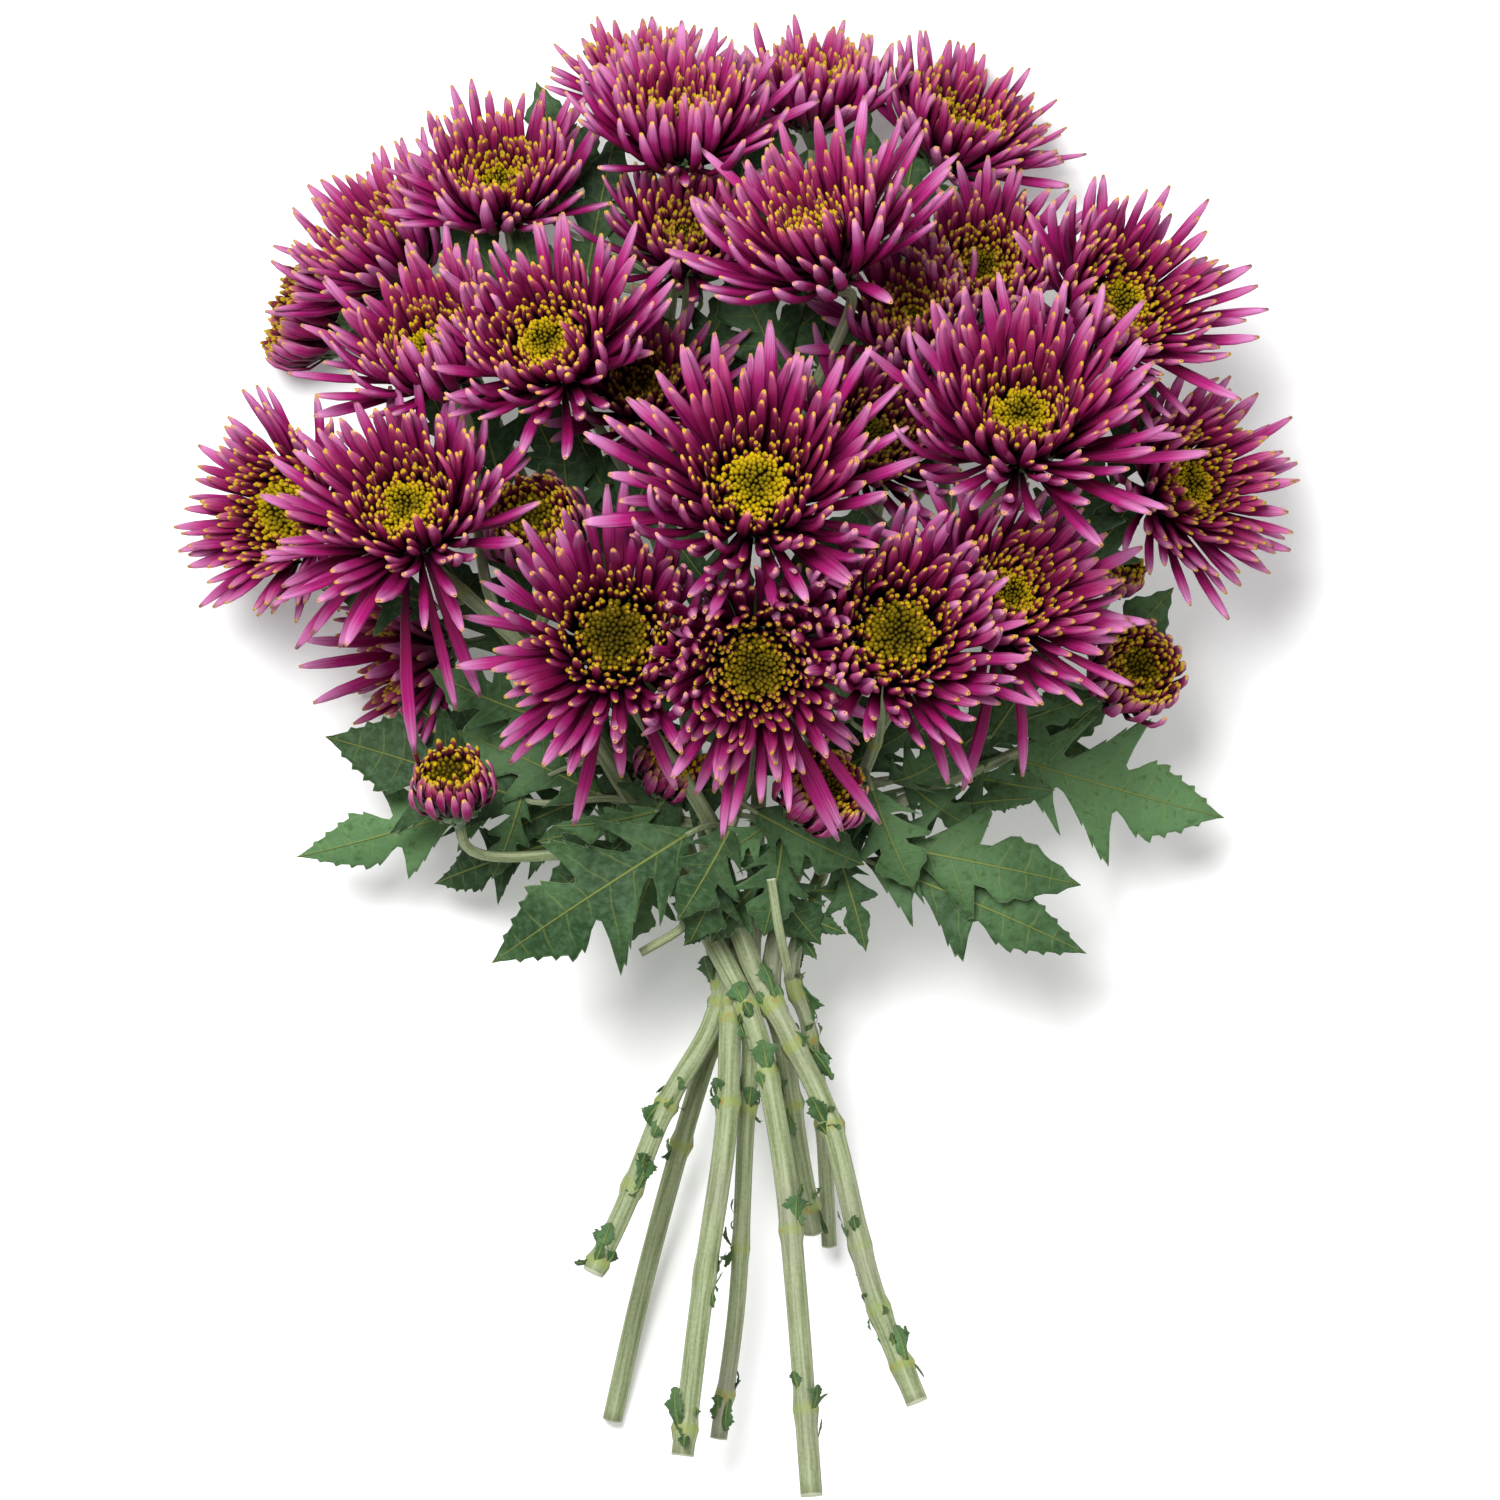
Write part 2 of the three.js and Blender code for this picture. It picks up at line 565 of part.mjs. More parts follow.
// A round tube through the given sections, each a centre and a radius, square to its route.
function tubeGeometry(sections, sides) {
  const last = sections.length - 1;
  const geometry = new THREE.CylinderGeometry(1, 1, 1, sides, last);
  geometry.deleteAttribute("normal");
  geometry.deleteAttribute("uv");
  const position = geometry.attributes.position;
  const tangents = sections.map((_, i) =>
    sections[Math.min(i + 1, last)].centre.clone().sub(sections[Math.max(i - 1, 0)].centre).normalize(),
  );
  let normal = new THREE.Vector3(1, 0, 0);
  const frames = tangents.map((tangent) => {
    normal = normal.clone().addScaledVector(tangent, -normal.dot(tangent)).normalize();
    return { normal, binormal: new THREE.Vector3().crossVectors(tangent, normal) };
  });
  const point = new THREE.Vector3();
  for (let v = 0; v < position.count; v++) {
    point.fromBufferAttribute(position, v);
    const i = Math.round((point.y + 0.5) * last);
    const { centre, radius } = sections[i];
    const placed = centre
      .clone()
      .addScaledVector(frames[i].normal, point.z * radius)
      .addScaledVector(frames[i].binormal, point.x * radius);
    position.setXYZ(v, ...offFloor(placed));
  }
  return geometry;
}

// The whole axis of a stem: up from the cut end, through the band, to under its top bloom.
function axisOf(stem) {
  const end = endOf(bloomOf(stem.top));
  const points = [...stem.lower, stem.band, ...stem.upper].map(vector);
  return new THREE.CatmullRomCurve3([...points, end[0], end[1]], false, "catmullrom", 0.5);
}

// The parameter on a stem's axis that lies the given share of the way from the band to the top.
function parameterOf(stem, share) {
  const spans = stem.lower.length + stem.upper.length + 2;
  const band = stem.lower.length / spans;
  return band + share * (1 - band);
}

// A stem thins toward its top bloom, the most just above the band.
const radiusAt = (stem, share) => THREE.MathUtils.lerp(stem.radius, PEDICEL_RADIUS, share ** 0.8);

// A stem's sections from the cut end to under its top bloom.
function mainSections(stem) {
  const axis = axisOf(stem);
  const bloom = bloomOf(stem.top);
  const bandAt = parameterOf(stem, 0);
  const lowerSteps = stem.lower.length;
  const sections = [];
  for (let i = 0; i <= lowerSteps; i++) {
    sections.push({ centre: axis.getPoint((bandAt * i) / lowerSteps), radius: stem.radius });
  }
  for (let i = 1; i < UPPER_STEPS; i++) {
    const share = i / UPPER_STEPS;
    sections.push({ centre: axis.getPoint(parameterOf(stem, share)), radius: radiusAt(stem, share) });
  }
  const end = endOf(bloom);
  cupRadii(bloom).forEach((radius, i) => sections.push({ centre: end[i + 1], radius }));
  return sections;
}

// A point on the middle line of a stem as built, the given share of the way from the band to the top.
function onStem(stem, share) {
  const axis = axisOf(stem);
  const low = Math.floor(share * UPPER_STEPS);
  const [a, b] = [low, low + 1].map((i) => axis.getPoint(parameterOf(stem, i / UPPER_STEPS)));
  return { point: a.clone().lerp(b, share * UPPER_STEPS - low), heading: b.sub(a).normalize() };
}

// A side stalk's sections from its fork to under its bloom.
function branchSections(stem, bloom) {
  const { point, heading } = onStem(stem, bloom.fork);
  const end = endOf(bloom);
  const span = point.distanceTo(end[0]);
  const leave = point.clone().addScaledVector(heading, 0.36 * span);
  const arrive = end[0].clone().addScaledVector(facingOf(bloom), -0.3 * span);
  const curve = new THREE.CubicBezierCurve3(point, leave, arrive, end[0]);
  const sections = [0, 0.33, 0.67, 1].map((share) => ({
    centre: curve.getPoint(share),
    radius: THREE.MathUtils.lerp(FORK_RADIUS, PEDICEL_RADIUS, share),
  }));
  cupRadii(bloom).forEach((radius, i) => sections.push({ centre: end[i + 1], radius }));
  return sections;
}

const branchesOf = (id) => BLOOMS.filter((bloom) => bloom.stem === id && bloom.fork !== undefined);

let allStalks;
function stalks() {
  allStalks ??= Object.entries(STEMS).flatMap(([id, stem]) => [
    { owner: bloomOf(stem.top), sections: mainSections(stem) },
    ...branchesOf(id).map((bloom) => ({ owner: bloom, sections: branchSections(stem, bloom) })),
  ]);
  return allStalks;
}

// Leaves

// Half of a lobed blade's edge, from its base to its tip: [along, across] as shares of its length and of its
// half width.
const LEAF_EDGE = [
  [0.0, 0.05], [0.1, 0.12], [0.2, 0.62], [0.3, 0.66], [0.33, 0.2],
  [0.44, 0.42], [0.6, 1.0], [0.66, 0.3], [0.8, 0.52], [0.88, 0.2],
];

// A point of a leaf's arched blade: u runs along its midrib, v across it, and skin is off its middle layer.
function leafPoint(leaf, u, v, skin) {
  const base = vector(leaf.base);
  const along = vector(leaf.tip).sub(base);
  const length = along.length();
  along.normalize();
  const level = new THREE.Vector3().crossVectors(UP, along).normalize();
  const across = level.clone().applyAxisAngle(along, leaf.roll * DEGREE);
  const face = new THREE.Vector3().crossVectors(along, across);
  const arch = leaf.arch * 4 * u * (1 - u);
  const fold = -LEAF_FOLD * leaf.half * Math.abs(v) ** 1.5;
  return base
    .addScaledVector(along, u * length)
    .addScaledVector(across, v * leaf.half)
    .addScaledVector(face, arch + fold + skin);
}

// A thin blade as two skins with the same triangles.
function leafGeometry(leaf) {
  const points = [];
  const faces = [];
  const place = (u, v, skin) => points.push(leafPoint(leaf, u, v, skin)) - 1;
  const skins = [LEAF_THICKNESS / 2, -LEAF_THICKNESS / 2].map((skin) => ({
    rib: LEAF_EDGE.map(([u]) => place(u, 0, skin)),
    left: LEAF_EDGE.map(([u, v]) => place(u + LEAF_SKEW[0], v, skin)),
    right: LEAF_EDGE.map(([u, v]) => place(Math.max(u + LEAF_SKEW[1], 0), -v, skin)),
    tip: place(1, 0, skin),
  }));
  const quad = (a, b, c, d) => faces.push([a, b, c], [a, c, d]);
  const last = LEAF_EDGE.length - 1;
  const [top, under] = skins;
  for (let i = 0; i < last; i++) {
    quad(top.rib[i + 1], top.left[i + 1], top.left[i], top.rib[i]);
    quad(top.rib[i], top.right[i], top.right[i + 1], top.rib[i + 1]);
    quad(under.left[i], under.left[i + 1], under.rib[i + 1], under.rib[i]);
    quad(under.rib[i], under.rib[i + 1], under.right[i + 1], under.right[i]);
    quad(top.left[i], top.left[i + 1], under.left[i + 1], under.left[i]);
    quad(top.right[i + 1], top.right[i], under.right[i], under.right[i + 1]);
  }
  faces.push([top.rib[last], top.tip, top.left[last]]);
  faces.push([top.right[last], top.tip, top.rib[last]]);
  faces.push([under.left[last], under.tip, under.rib[last]]);
  faces.push([under.rib[last], under.tip, under.right[last]]);
  quad(top.left[last], top.tip, under.tip, under.left[last]);
  quad(top.tip, top.right[last], under.right[last], under.tip);
  quad(top.rib[0], top.left[0], under.left[0], under.rib[0]);
  quad(top.right[0], top.rib[0], under.rib[0], under.right[0]);
  return facetGeometry(points, faces);
}

// The stalk of a leaf, from inside its stem to inside its blade's foot.
function leafStalkGeometry(stem, leaf) {
  const { point: start, heading } = onStem(stem, leaf.from);
  const base = leafPoint(leaf, 0, 0, 0);
  const into = leafPoint(leaf, LEAF_STALK_END, 0, 0);
  const leave = start.clone().addScaledVector(heading, 0.3 * start.distanceTo(base));
  const before = base.clone().lerp(into, -1.2); // behind the blade's foot, in line with its midrib
  const curve = new THREE.CubicBezierCurve3(start, leave, before, into);
  const sections = LEAF_STALK.map((radius, i) => ({ centre: curve.getPoint(i / 2), radius }));
  return tubeGeometry(sections, 4);
}

// A torn leaf stalk: a flat flap that leans up its stem.
function stubGeometry(stem, stub) {
  const spot = stub.at * stem.lower.length;
  const low = Math.min(Math.floor(spot), stem.lower.length - 1);
  const [a, b] = mainSections(stem).slice(low, low + 2).map(({ centre }) => centre);
  const root = a.clone().lerp(b, spot - low);
  const heading = b.clone().sub(a).normalize();
  const out = new THREE.Vector3(Math.cos(stub.turn * DEGREE), 0, Math.sin(stub.turn * DEGREE));
  const lean = out.clone().multiplyScalar(STUB_LEAN[0]).addScaledVector(heading, STUB_LEAN[1]).normalize();
  const tip = root.clone().addScaledVector(lean, stem.radius + stub.length);
  const sections = [root, tip].map((centre, i) => ({ centre, radius: STUB_RADII[i] }));
  return tubeGeometry(sections, 4);
}

// Assembly

function stemSolid(id) {
  const stem = STEMS[id];
  let solid = solidOf(tubeGeometry(mainSections(stem), 6));
  for (const bloom of branchesOf(id)) {
    solid = solid.add(solidOf(tubeGeometry(branchSections(stem, bloom), 5)));
  }
  for (const stub of STUBS) {
    if (stub.stem === id) solid = solid.add(solidOf(stubGeometry(stem, stub)));
  }
  for (const leaf of LEAVES) {
    if (leaf.stem !== id) continue;
    solid = solid.add(solidOf(leafStalkGeometry(stem, leaf))).add(solidOf(leafGeometry(leaf)));
  }
  return solid;
}

// The rounds of a stem where the two faces of the band cross it.
function roundsInBand(stem) {
  const sections = mainSections(stem);
  return [TIE_Y - TIE_WIDTH / 2, TIE_Y + TIE_WIDTH / 2].map((y) => {
    const above = sections.findIndex(({ centre }) => centre.y > y);
    const [low, high] = [sections[above - 1], sections[above]];
    const share = (y - low.centre.y) / (high.centre.y - low.centre.y);
    const { x, z } = low.centre.clone().lerp(high.centre, share);
    const slant = high.centre.clone().sub(low.centre).normalize().y;
    return { x, z, radius: low.radius / slant + GAP };
  });
}

// The band is drawn tight round the stems: the hull of their rounds.
function tieGeometry() {
  const rounds = Object.values(STEMS).flatMap(roundsInBand);
  const reachOf = (angle) =>
    Math.max(...rounds.map(({ x, z, radius }) => x * Math.cos(angle) + z * Math.sin(angle) + radius));
  const step = (2 * Math.PI) / TIE_SIDES;
  const turn = Math.sin(step);
  const outline = (extra) =>
    Array.from({ length: TIE_SIDES }, (_, i) => {
      const [a, b] = [i * step, (i + 1) * step];
      const [p, q] = [reachOf(a) + extra, reachOf(b) + extra];
      const x = (p * Math.sin(b) - q * Math.sin(a)) / turn;
      const z = (q * Math.cos(a) - p * Math.cos(b)) / turn;
      return new THREE.Vector2(x, z);
    });
  const shape = new THREE.Shape(outline(TIE_THICKNESS));
  shape.holes.push(new THREE.Path(outline(0)));
  const geometry = new THREE.ExtrudeGeometry(shape, { depth: TIE_WIDTH, bevelEnabled: false });
  return geometry.rotateX(Math.PI / 2).translate(0, TIE_Y + TIE_WIDTH / 2, 0);
}

const bunch = new THREE.Group();
for (const id of Object.keys(STEMS)) {
  bunch.add(meshOf("stem_" + id, geometryOf(stemSolid(id)), STEM_GREEN, 0.7));
}
BLOOMS.forEach((bloom, index) => {
  const spin = index * GOLDEN_TURN;
  const name = "bloom_" + bloom.id;
  bunch.add(meshOf(bloom.disc ? name + "_rays" : name, bloomGeometry(bloom, spin), RAY_PURPLE, 0.6));
  if (bloom.disc) bunch.add(meshOf(name + "_disc", discGeometry(bloom, spin), DISC_YELLOW, 0.8));
});
bunch.add(meshOf("tie", tieGeometry(), BAND_GREEN, 0.8));

const box = new THREE.Box3().setFromObject(bunch, true);
const middle = box.getCenter(new THREE.Vector3());
bunch.position.set(-middle.x, -middle.y, -box.min.z);

export default bunch;
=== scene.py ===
import math
import random
from types import SimpleNamespace

import bmesh
import bpy
from mathutils import Matrix, Vector


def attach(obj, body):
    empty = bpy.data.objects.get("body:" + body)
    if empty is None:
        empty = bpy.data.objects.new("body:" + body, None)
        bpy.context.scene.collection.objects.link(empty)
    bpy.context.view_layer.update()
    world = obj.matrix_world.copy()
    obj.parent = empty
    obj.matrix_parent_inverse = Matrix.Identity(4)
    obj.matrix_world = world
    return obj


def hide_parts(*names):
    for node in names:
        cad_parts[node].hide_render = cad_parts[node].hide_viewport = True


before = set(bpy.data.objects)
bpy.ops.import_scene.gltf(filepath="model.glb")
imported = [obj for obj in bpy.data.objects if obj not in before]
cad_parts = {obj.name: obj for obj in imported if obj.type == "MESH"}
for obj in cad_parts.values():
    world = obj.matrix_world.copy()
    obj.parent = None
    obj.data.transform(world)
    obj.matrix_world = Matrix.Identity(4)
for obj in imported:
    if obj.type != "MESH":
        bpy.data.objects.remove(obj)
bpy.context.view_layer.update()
scene = bpy.context.scene

# Where the blooms and stems are
# Spray chrysanthemums bear several blooms to a stem, each on a side stalk of its own. Most are open here,
# four are half open and three are buds. Every later section needs their places.
BUNCH_SHIFT = Vector((-1.11, -2.09, 0))
HALF_OPEN = ("03", "21", "26", "28")
BUDS = ("27", "29", "31")
ONE_SOLID = ("09", "13", "17", "18", "30", "32")  # open blooms whose disc has no node of its own
HEAD_DEPTH = {"open": 0.26, "half": 0.6, "bud": 0.95}  # of the head below its disc, as a share of the reach
CUP_DEPTH = 7
STRAIGHT = 18  # the end of a stalk that faces as its bloom does
FORK_RADIUS = 2.1
BLOOMS = {}
# The middle of a bloom's disc, the compass turn and lean of its face (lean 0 looks straight up), the reach of
# its longest florets, its stem, and how far up that stem its side stalk forks off (a top bloom has no fork).
for name, at, turn, lean, reach, stem, *fork in [
    ("01", (-77, 187, 72), 100, 48, 46, 3, 0.62), ("02", (-114, 168, 42), 130, 64, 49, 1),
    ("03", (-143, 146, 21.5), 163, 80, 28, 1, 0.62), ("04", (-98, 134, 104), 115, 48, 50, 5, 0.55),
    ("05", (-61, 135, 128), 120, 34, 52, 3, 0.36), ("06", (-19, 206, 86), 90, 55, 49, 3),
    ("07", (24, 217, 40), 88, 70, 42, 2, 0.6), ("08", (71, 205, 33), 66, 62, 46, 2),
    ("09", (-17, 170, 90), 90, 40, 44, 3, 0.52), ("10", (25, 169, 128), 112, 52, 58, 4),
    ("11", (78, 160, 84), 80, 32, 42, 2, 0.5), ("12", (122, 148, 92), 45, 36, 52, 2, 0.36),
    ("13", (56, 143, 94), 95, 38, 44, 6, 0.55), ("14", (90, 111, 140), 85, 38, 62, 6),
    ("15", (144, 91, 70), 18, 42, 49, 6, 0.42), ("16", (5, 89, 152), 90, 24, 63, 4, 0.4),
    ("17", (42, 105, 106), 60, 30, 46, 6, 0.48), ("18", (-31, 121, 84), 90, 34, 43, 4, 0.45),
    ("19", (-106, 82, 124), 112, 34, 55, 5), ("20", (-146, 82, 66), 170, 40, 44, 1, 0.5),
    ("21", (-66, 79, 98), 110, 36, 27, 5, 0.5), ("22", (-40, 41, 140), 100, 15, 55, 7, 0.26),
    ("23", (5, 32, 150), 280, 8, 54, 7), ("24", (50, 42, 146), 55, 20, 55, 8),
    ("25", (86, 55, 121), 45, 32, 52, 8, 0.48), ("26", (128, 31, 66), 35, 34, 26, 8, 0.2),
    ("27", (-93, -3, 96), 100, 48, 16, 5, 0.12), ("28", (26, -7, 112), 45, 42, 24, 8, 0.24),
    ("29", (-22, 1, 84), 60, 45, 13, 7, 0.3), ("30", (-106, 36, 34), 192, 74, 46, 1, 0.34),
    ("31", (124, 63, 40), 60, 50, 9, 6, 0.36), ("32", (-32, 223, 28), 95, 74, 37, 3, 0.7),
]:
    turned, leaning = math.radians(turn), math.radians(lean)
    level = Vector((-math.sin(turned), math.cos(turned), 0))
    out = math.sin(leaning)
    face = Vector((out * math.cos(turned), out * math.sin(turned), math.cos(leaning)))
    stage = "half" if name in HALF_OPEN else "bud" if name in BUDS else "open"
    BLOOMS[name] = SimpleNamespace(
        name=name, at=Vector(at), face=face, side=level, rear=face.cross(level), lean=lean, reach=reach,
        stem=stem, fork=fork, stage=stage, own_disc=stage == "open" and name not in ONE_SOLID,
        foot=HEAD_DEPTH[stage] * reach, cup=min(CUP_DEPTH, 0.5 * reach), bow=(0, 0, 0), thick=FORK_RADIUS,
    )
BLOOMS["22"].bow, BLOOMS["22"].thick = (-4, -5, 3), 3.2
BLOOMS["26"].bow = (0, -10, 24)


def end_of_stalk(bloom):
    """The last two places of a bloom's stalk: where it straightens, and where its cup starts."""
    foot = bloom.at - bloom.face * bloom.foot
    straight = min(STRAIGHT, 0.55 * bloom.reach + 3)
    return [foot - bloom.face * straight, foot - bloom.face * bloom.cup]


STEMS = {}
# A stem's radius, its top bloom, the places of its bare part from the cut end up, and those from the band on.
for number, (radius, top, lower, upper) in enumerate([
    (3.5, "02", [(-47.4, -163.4, 62), (-37, -141.6, 58), (-24, -109.6, 51), (-9, -83, 44)],
     [(-7.2, -62, 41), (-27, 0, 34), (-60, 70, 24)]),
    (3.3, "08", [(-41.6, -212.6, 2.9), (-32, -170.4, 13), (-19.2, -122.4, 26), (-8, -86, 34)],
     [(1.6, -62, 42.9), (24, 10, 30), (48, 100, 26)]),
    (3.8, "06", [(-18.6, -222.4, 62), (-12.2, -170.4, 59), (-4.8, -119.8, 54), (-3.4, -90, 50.5)],
     [(-3.4, -62, 47.8), (-16, 10, 50), (-26, 100, 40)]),
    (2.9, "10", [(-7, -217.8, 30), (-1, -173.6, 35), (1.6, -122.4, 41), (3.2, -96, 44.5)],
     [(3.9, -62, 48.8), (7, 10, 56), (12, 90, 62)]),
    (3.7, "19", [(23, -234.4, 86), (18.2, -170.4, 75), (13.5, -125, 67), (5.5, -87, 60.5)],
     [(-5.7, -62, 55), (-34, -12, 62), (-64, 32, 82)]),
    (3.4, "14", [(24, -151.2, 24), (19.2, -125.6, 33), (14.4, -92, 43)],
     [(10.6, -62, 48.7), (28, 0, 54), (56, 64, 68)]),
    (3.7, "23", [(57, -204.6, 79), (42.2, -167.2, 73), (29.4, -116, 65), (16, -87, 61)],
     [(3, -62, 55.2), (-6, -30, 68), (2, 0, 98)]),
    (2.6, "24", [(29, -155.7, 12), (26.5, -112, 28), (22, -84, 41)],
     [(17.3, -62, 48.6), (32, -20, 62), (44, 10, 92)]),
], 1):
    points = [Vector(p) for p in lower + upper] + end_of_stalk(BLOOMS[top])
    STEMS[number] = SimpleNamespace(radius=radius, points=points, at_band=len(lower) / (len(points) - 1))


def spoke_of(bloom, azimuth):
    """The way out from the middle of a bloom's face at an azimuth."""
    return bloom.side * math.cos(azimuth) + bloom.rear * math.sin(azimuth)


def along_curve(points, t):
    """A place on the smooth curve through the points, t from 0 to 1."""
    spot = t * (len(points) - 1)
    i = min(int(spot), len(points) - 2)
    w = spot - i
    p1, p2 = points[i], points[i + 1]
    p0 = points[i - 1] if i > 0 else 2 * p1 - p2
    p3 = points[i + 2] if i + 2 < len(points) else 2 * p2 - p1
    t1, t2 = (p2 - p0) / 2, (p3 - p1) / 2
    return (2 * p1 - 2 * p2 + t1 + t2) * w**3 + (3 * p2 - 3 * p1 - 2 * t1 - t2) * w**2 + t1 * w + p1


def bezier(first, leave, arrive, last, steps):
    """Places on the curve that starts toward leave and comes to its end from arrive."""
    places = []
    for i in range(steps + 1):
        t = i / steps
        start, end = first * (1 - t) ** 3 + leave * 3 * t * (1 - t) ** 2, arrive * 3 * t * t * (1 - t)
        places.append(start + end + last * t**3)
    return places


AHEAD = 0.03  # how much further up a stem its heading is taken
BARE_AHEAD = 0.02


def place_and_heading(stem, t, step):
    here = along_curve(stem.points, t)
    return here, (along_curve(stem.points, min(1, t + step)) - here).normalized()


def place_on_stem(stem, share):
    """A place and heading on a stem, the share of the way from the band to its top bloom."""
    return place_and_heading(stem, stem.at_band + share * (1 - stem.at_band), AHEAD)


def bare_place(stem, share):
    """The same on the bare lower part: 0 is the cut end and 1 the band."""
    return place_and_heading(stem, share * stem.at_band, BARE_AHEAD)


# Main stems
# Eight green stems as thick as a pencil, ridged lengthwise, with darker furrows and purplish flushes. They
# are stripped bare below the band, so scars with torn leaf stalks mark their nodes. Their cut ends are pale.
STALK_SIDES = 12
SIDE_STALK_SIDES = 8
STALK_LAYERS = ("around", "ridge", "scar", "run")
STEPS = 12  # between two of a stem's points, and along a leaf's stalk
FORK_STEPS = 16
RIDGE = 0.04  # ridges stand this share of the radius proud, and furrows as much below it
SCAR_SWELL = 0.2
SCAR_LENGTH = 2.4
PEDICEL_RADIUS = 1.7  # of a stalk where it meets its bloom
LEAF_NODES = (0.12, 0.3, 0.48, 0.66)  # how far up from the band the swollen nodes are
TOP_BARE_NODE = 0.84
TORN = {
    1: [(0.04, 110, 13), (0.3, 70, 10), (0.5, 120, 9), (0.93, 150, 10)],
    2: [(0.5, 160, 6), (0.72, 190, 7)],
    3: [(0.04, 130, 14), (0.28, 10, 9), (0.58, 165, 8), (0.9, 60, 8)],
    4: [(0.08, 60, 11), (0.34, 150, 8), (0.6, 80, 8)],
    5: [(0.1, 50, 9), (0.36, 60, 10), (0.66, 80, 11), (0.84, 95, 8)],
    6: [(0.12, 30, 10), (0.5, 110, 9)],
    7: [(0.08, 60, 13), (0.2, 150, 7), (0.32, 165, 7), (0.5, 120, 11), (0.72, 20, 16), (0.86, 60, 12)],
    8: [(0.3, 60, 10), (0.62, 40, 10), (0.9, 30, 13)],
}  # torn leaf stalks: how far up the bare part (0 the cut end, 1 the band), the turn round it, the length


class Socket:
    """A socket among a material's nodes. Sums written with it add their Math nodes."""

    def __init__(self, tree, end=None):
        self.tree = tree
        self.end = end

    def node(self, kind, settings, inputs, output=0):
        made = self.tree.nodes.new(kind)
        for name, value in settings.items():
            if name == "stops":
                while len(made.color_ramp.elements) < len(value):
                    made.color_ramp.elements.new(1)
                for stop, (place, colour) in zip(made.color_ramp.elements, value):
                    stop.position = place
                    stop.color = (*colour, 1)
            else:
                setattr(made, name, value)
        for name, value in inputs.items():
            if isinstance(value, Socket):
                self.tree.links.new(value.end, made.inputs[name])
            else:
                made.inputs[name].default_value = value
        return Socket(self.tree, made.outputs[output]) if len(made.outputs) else None

    def maths(self, operation, first, second=0.0):
        return self.node("ShaderNodeMath", {"operation": operation}, {0: first, 1: second})

    def __add__(self, other):
        return self.maths("ADD", self, other)

    __radd__ = __add__

    def __sub__(self, other):
        return self.maths("SUBTRACT", self, other)

    def __rsub__(self, other):
        return self.maths("SUBTRACT", other, self)

    def __mul__(self, other):
        return self.maths("MULTIPLY", self, other)

    __rmul__ = __mul__

    def __pow__(self, other):
        return self.maths("POWER", self, other)

    def __abs__(self):
        return self.maths("ABSOLUTE", self)

    def attributes(self, *names):
        return [self.node("ShaderNodeAttribute", {"attribute_name": name}, {}, "Fac") for name in names]

    def between(self, low, high):
        """0 where this is below low, 1 where it is above high, and smooth between them."""
        settings = {"interpolation_type": "SMOOTHSTEP"}
        return self.node("ShaderNodeMapRange", settings, {0: self, 1: low, 2: high, 3: 0.0, 4: 1.0})

    def mix(self, mask, first, second):
        """The first colour where the mask is 0 and the second where it is 1."""
        colours = [c if isinstance(c, Socket) else (*c, 1) for c in (first, second)]
        inputs = {0: mask, 6: colours[0], 7: colours[1]}
        return self.node("ShaderNodeMix", {"data_type": "RGBA"}, inputs, 2)

    def paint(self, colour, *coats):
        """The colour with coats of (mask, colour) laid over it in turn."""
        for mask, coat in coats:
            colour = self.mix(mask, colour, coat)
        return colour

    def ramp(self, stops):
        return self.node("ShaderNodeValToRGB", {"stops": stops}, {0: self})

    def noise(self, scale, detail=2.0, x=None, y=None, z=None):
        """Noise over the given numbers, or over the object's own coordinates."""
        if x is None:
            vector = self.node("ShaderNodeTexCoord", {}, {}, "Object")
        else:
            vector = self.node("ShaderNodeCombineXYZ", {}, {0: x, 1: y, 2: z})
        return self.node("ShaderNodeTexNoise", {}, {"Vector": vector, "Scale": scale, "Detail": detail})

    def finish(self, colour, roughness, height, depth, **constants):
        """Ends the material: its colour, roughness and bump height, a bump depth in metres, and constants."""
        bump = self.node("ShaderNodeBump", {}, {"Height": height, "Distance": depth, "Strength": 0.8})
        inputs = {"Base Color": colour, "Roughness": roughness, "Normal": bump}
        for name, value in constants.items():
            inputs[name.replace("_", " ").title().replace("Ior", "IOR")] = value
        surface = self.node("ShaderNodeBsdfPrincipled", {}, inputs)
        self.node("ShaderNodeOutputMaterial", {}, {"Surface": surface})


def new_material(name):
    """A material with no nodes yet, and the socket that its nodes grow from."""
    made = bpy.data.materials.new(name)
    made.use_nodes = True
    made.node_tree.nodes.clear()
    return made, Socket(made.node_tree)


def finished_mesh(bm, name):
    mesh = bpy.data.meshes.new(name)
    bm.to_mesh(mesh)
    bm.free()
    return mesh


def add_object(name, data):
    made = bpy.data.objects.new(name, data)
    scene.collection.objects.link(made)
    return made


def place_piece(bm, name, material, slot, *nodes):
    """Makes the finished bmesh an object of the bunch that stands for the nodes."""
    bmesh.ops.translate(bm, verts=bm.verts, vec=BUNCH_SHIFT)
    bmesh.ops.scale(bm, verts=bm.verts, vec=(0.001, 0.001, 0.001))
    mesh = finished_mesh(bm, name)
    mesh.shade_smooth()
    mesh.materials.append(material)
    piece = add_object(name, mesh)
    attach(piece, "root")
    if nodes:
        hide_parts(*nodes)


def new_mesh(names):
    """A bmesh with a layer of numbers for each name."""
    bm = bmesh.new()
    for name in names:
        bm.verts.layers.float.new(name)
    return bm


def layers_of(bm, names):
    return [bm.verts.layers.float[name] for name in names]


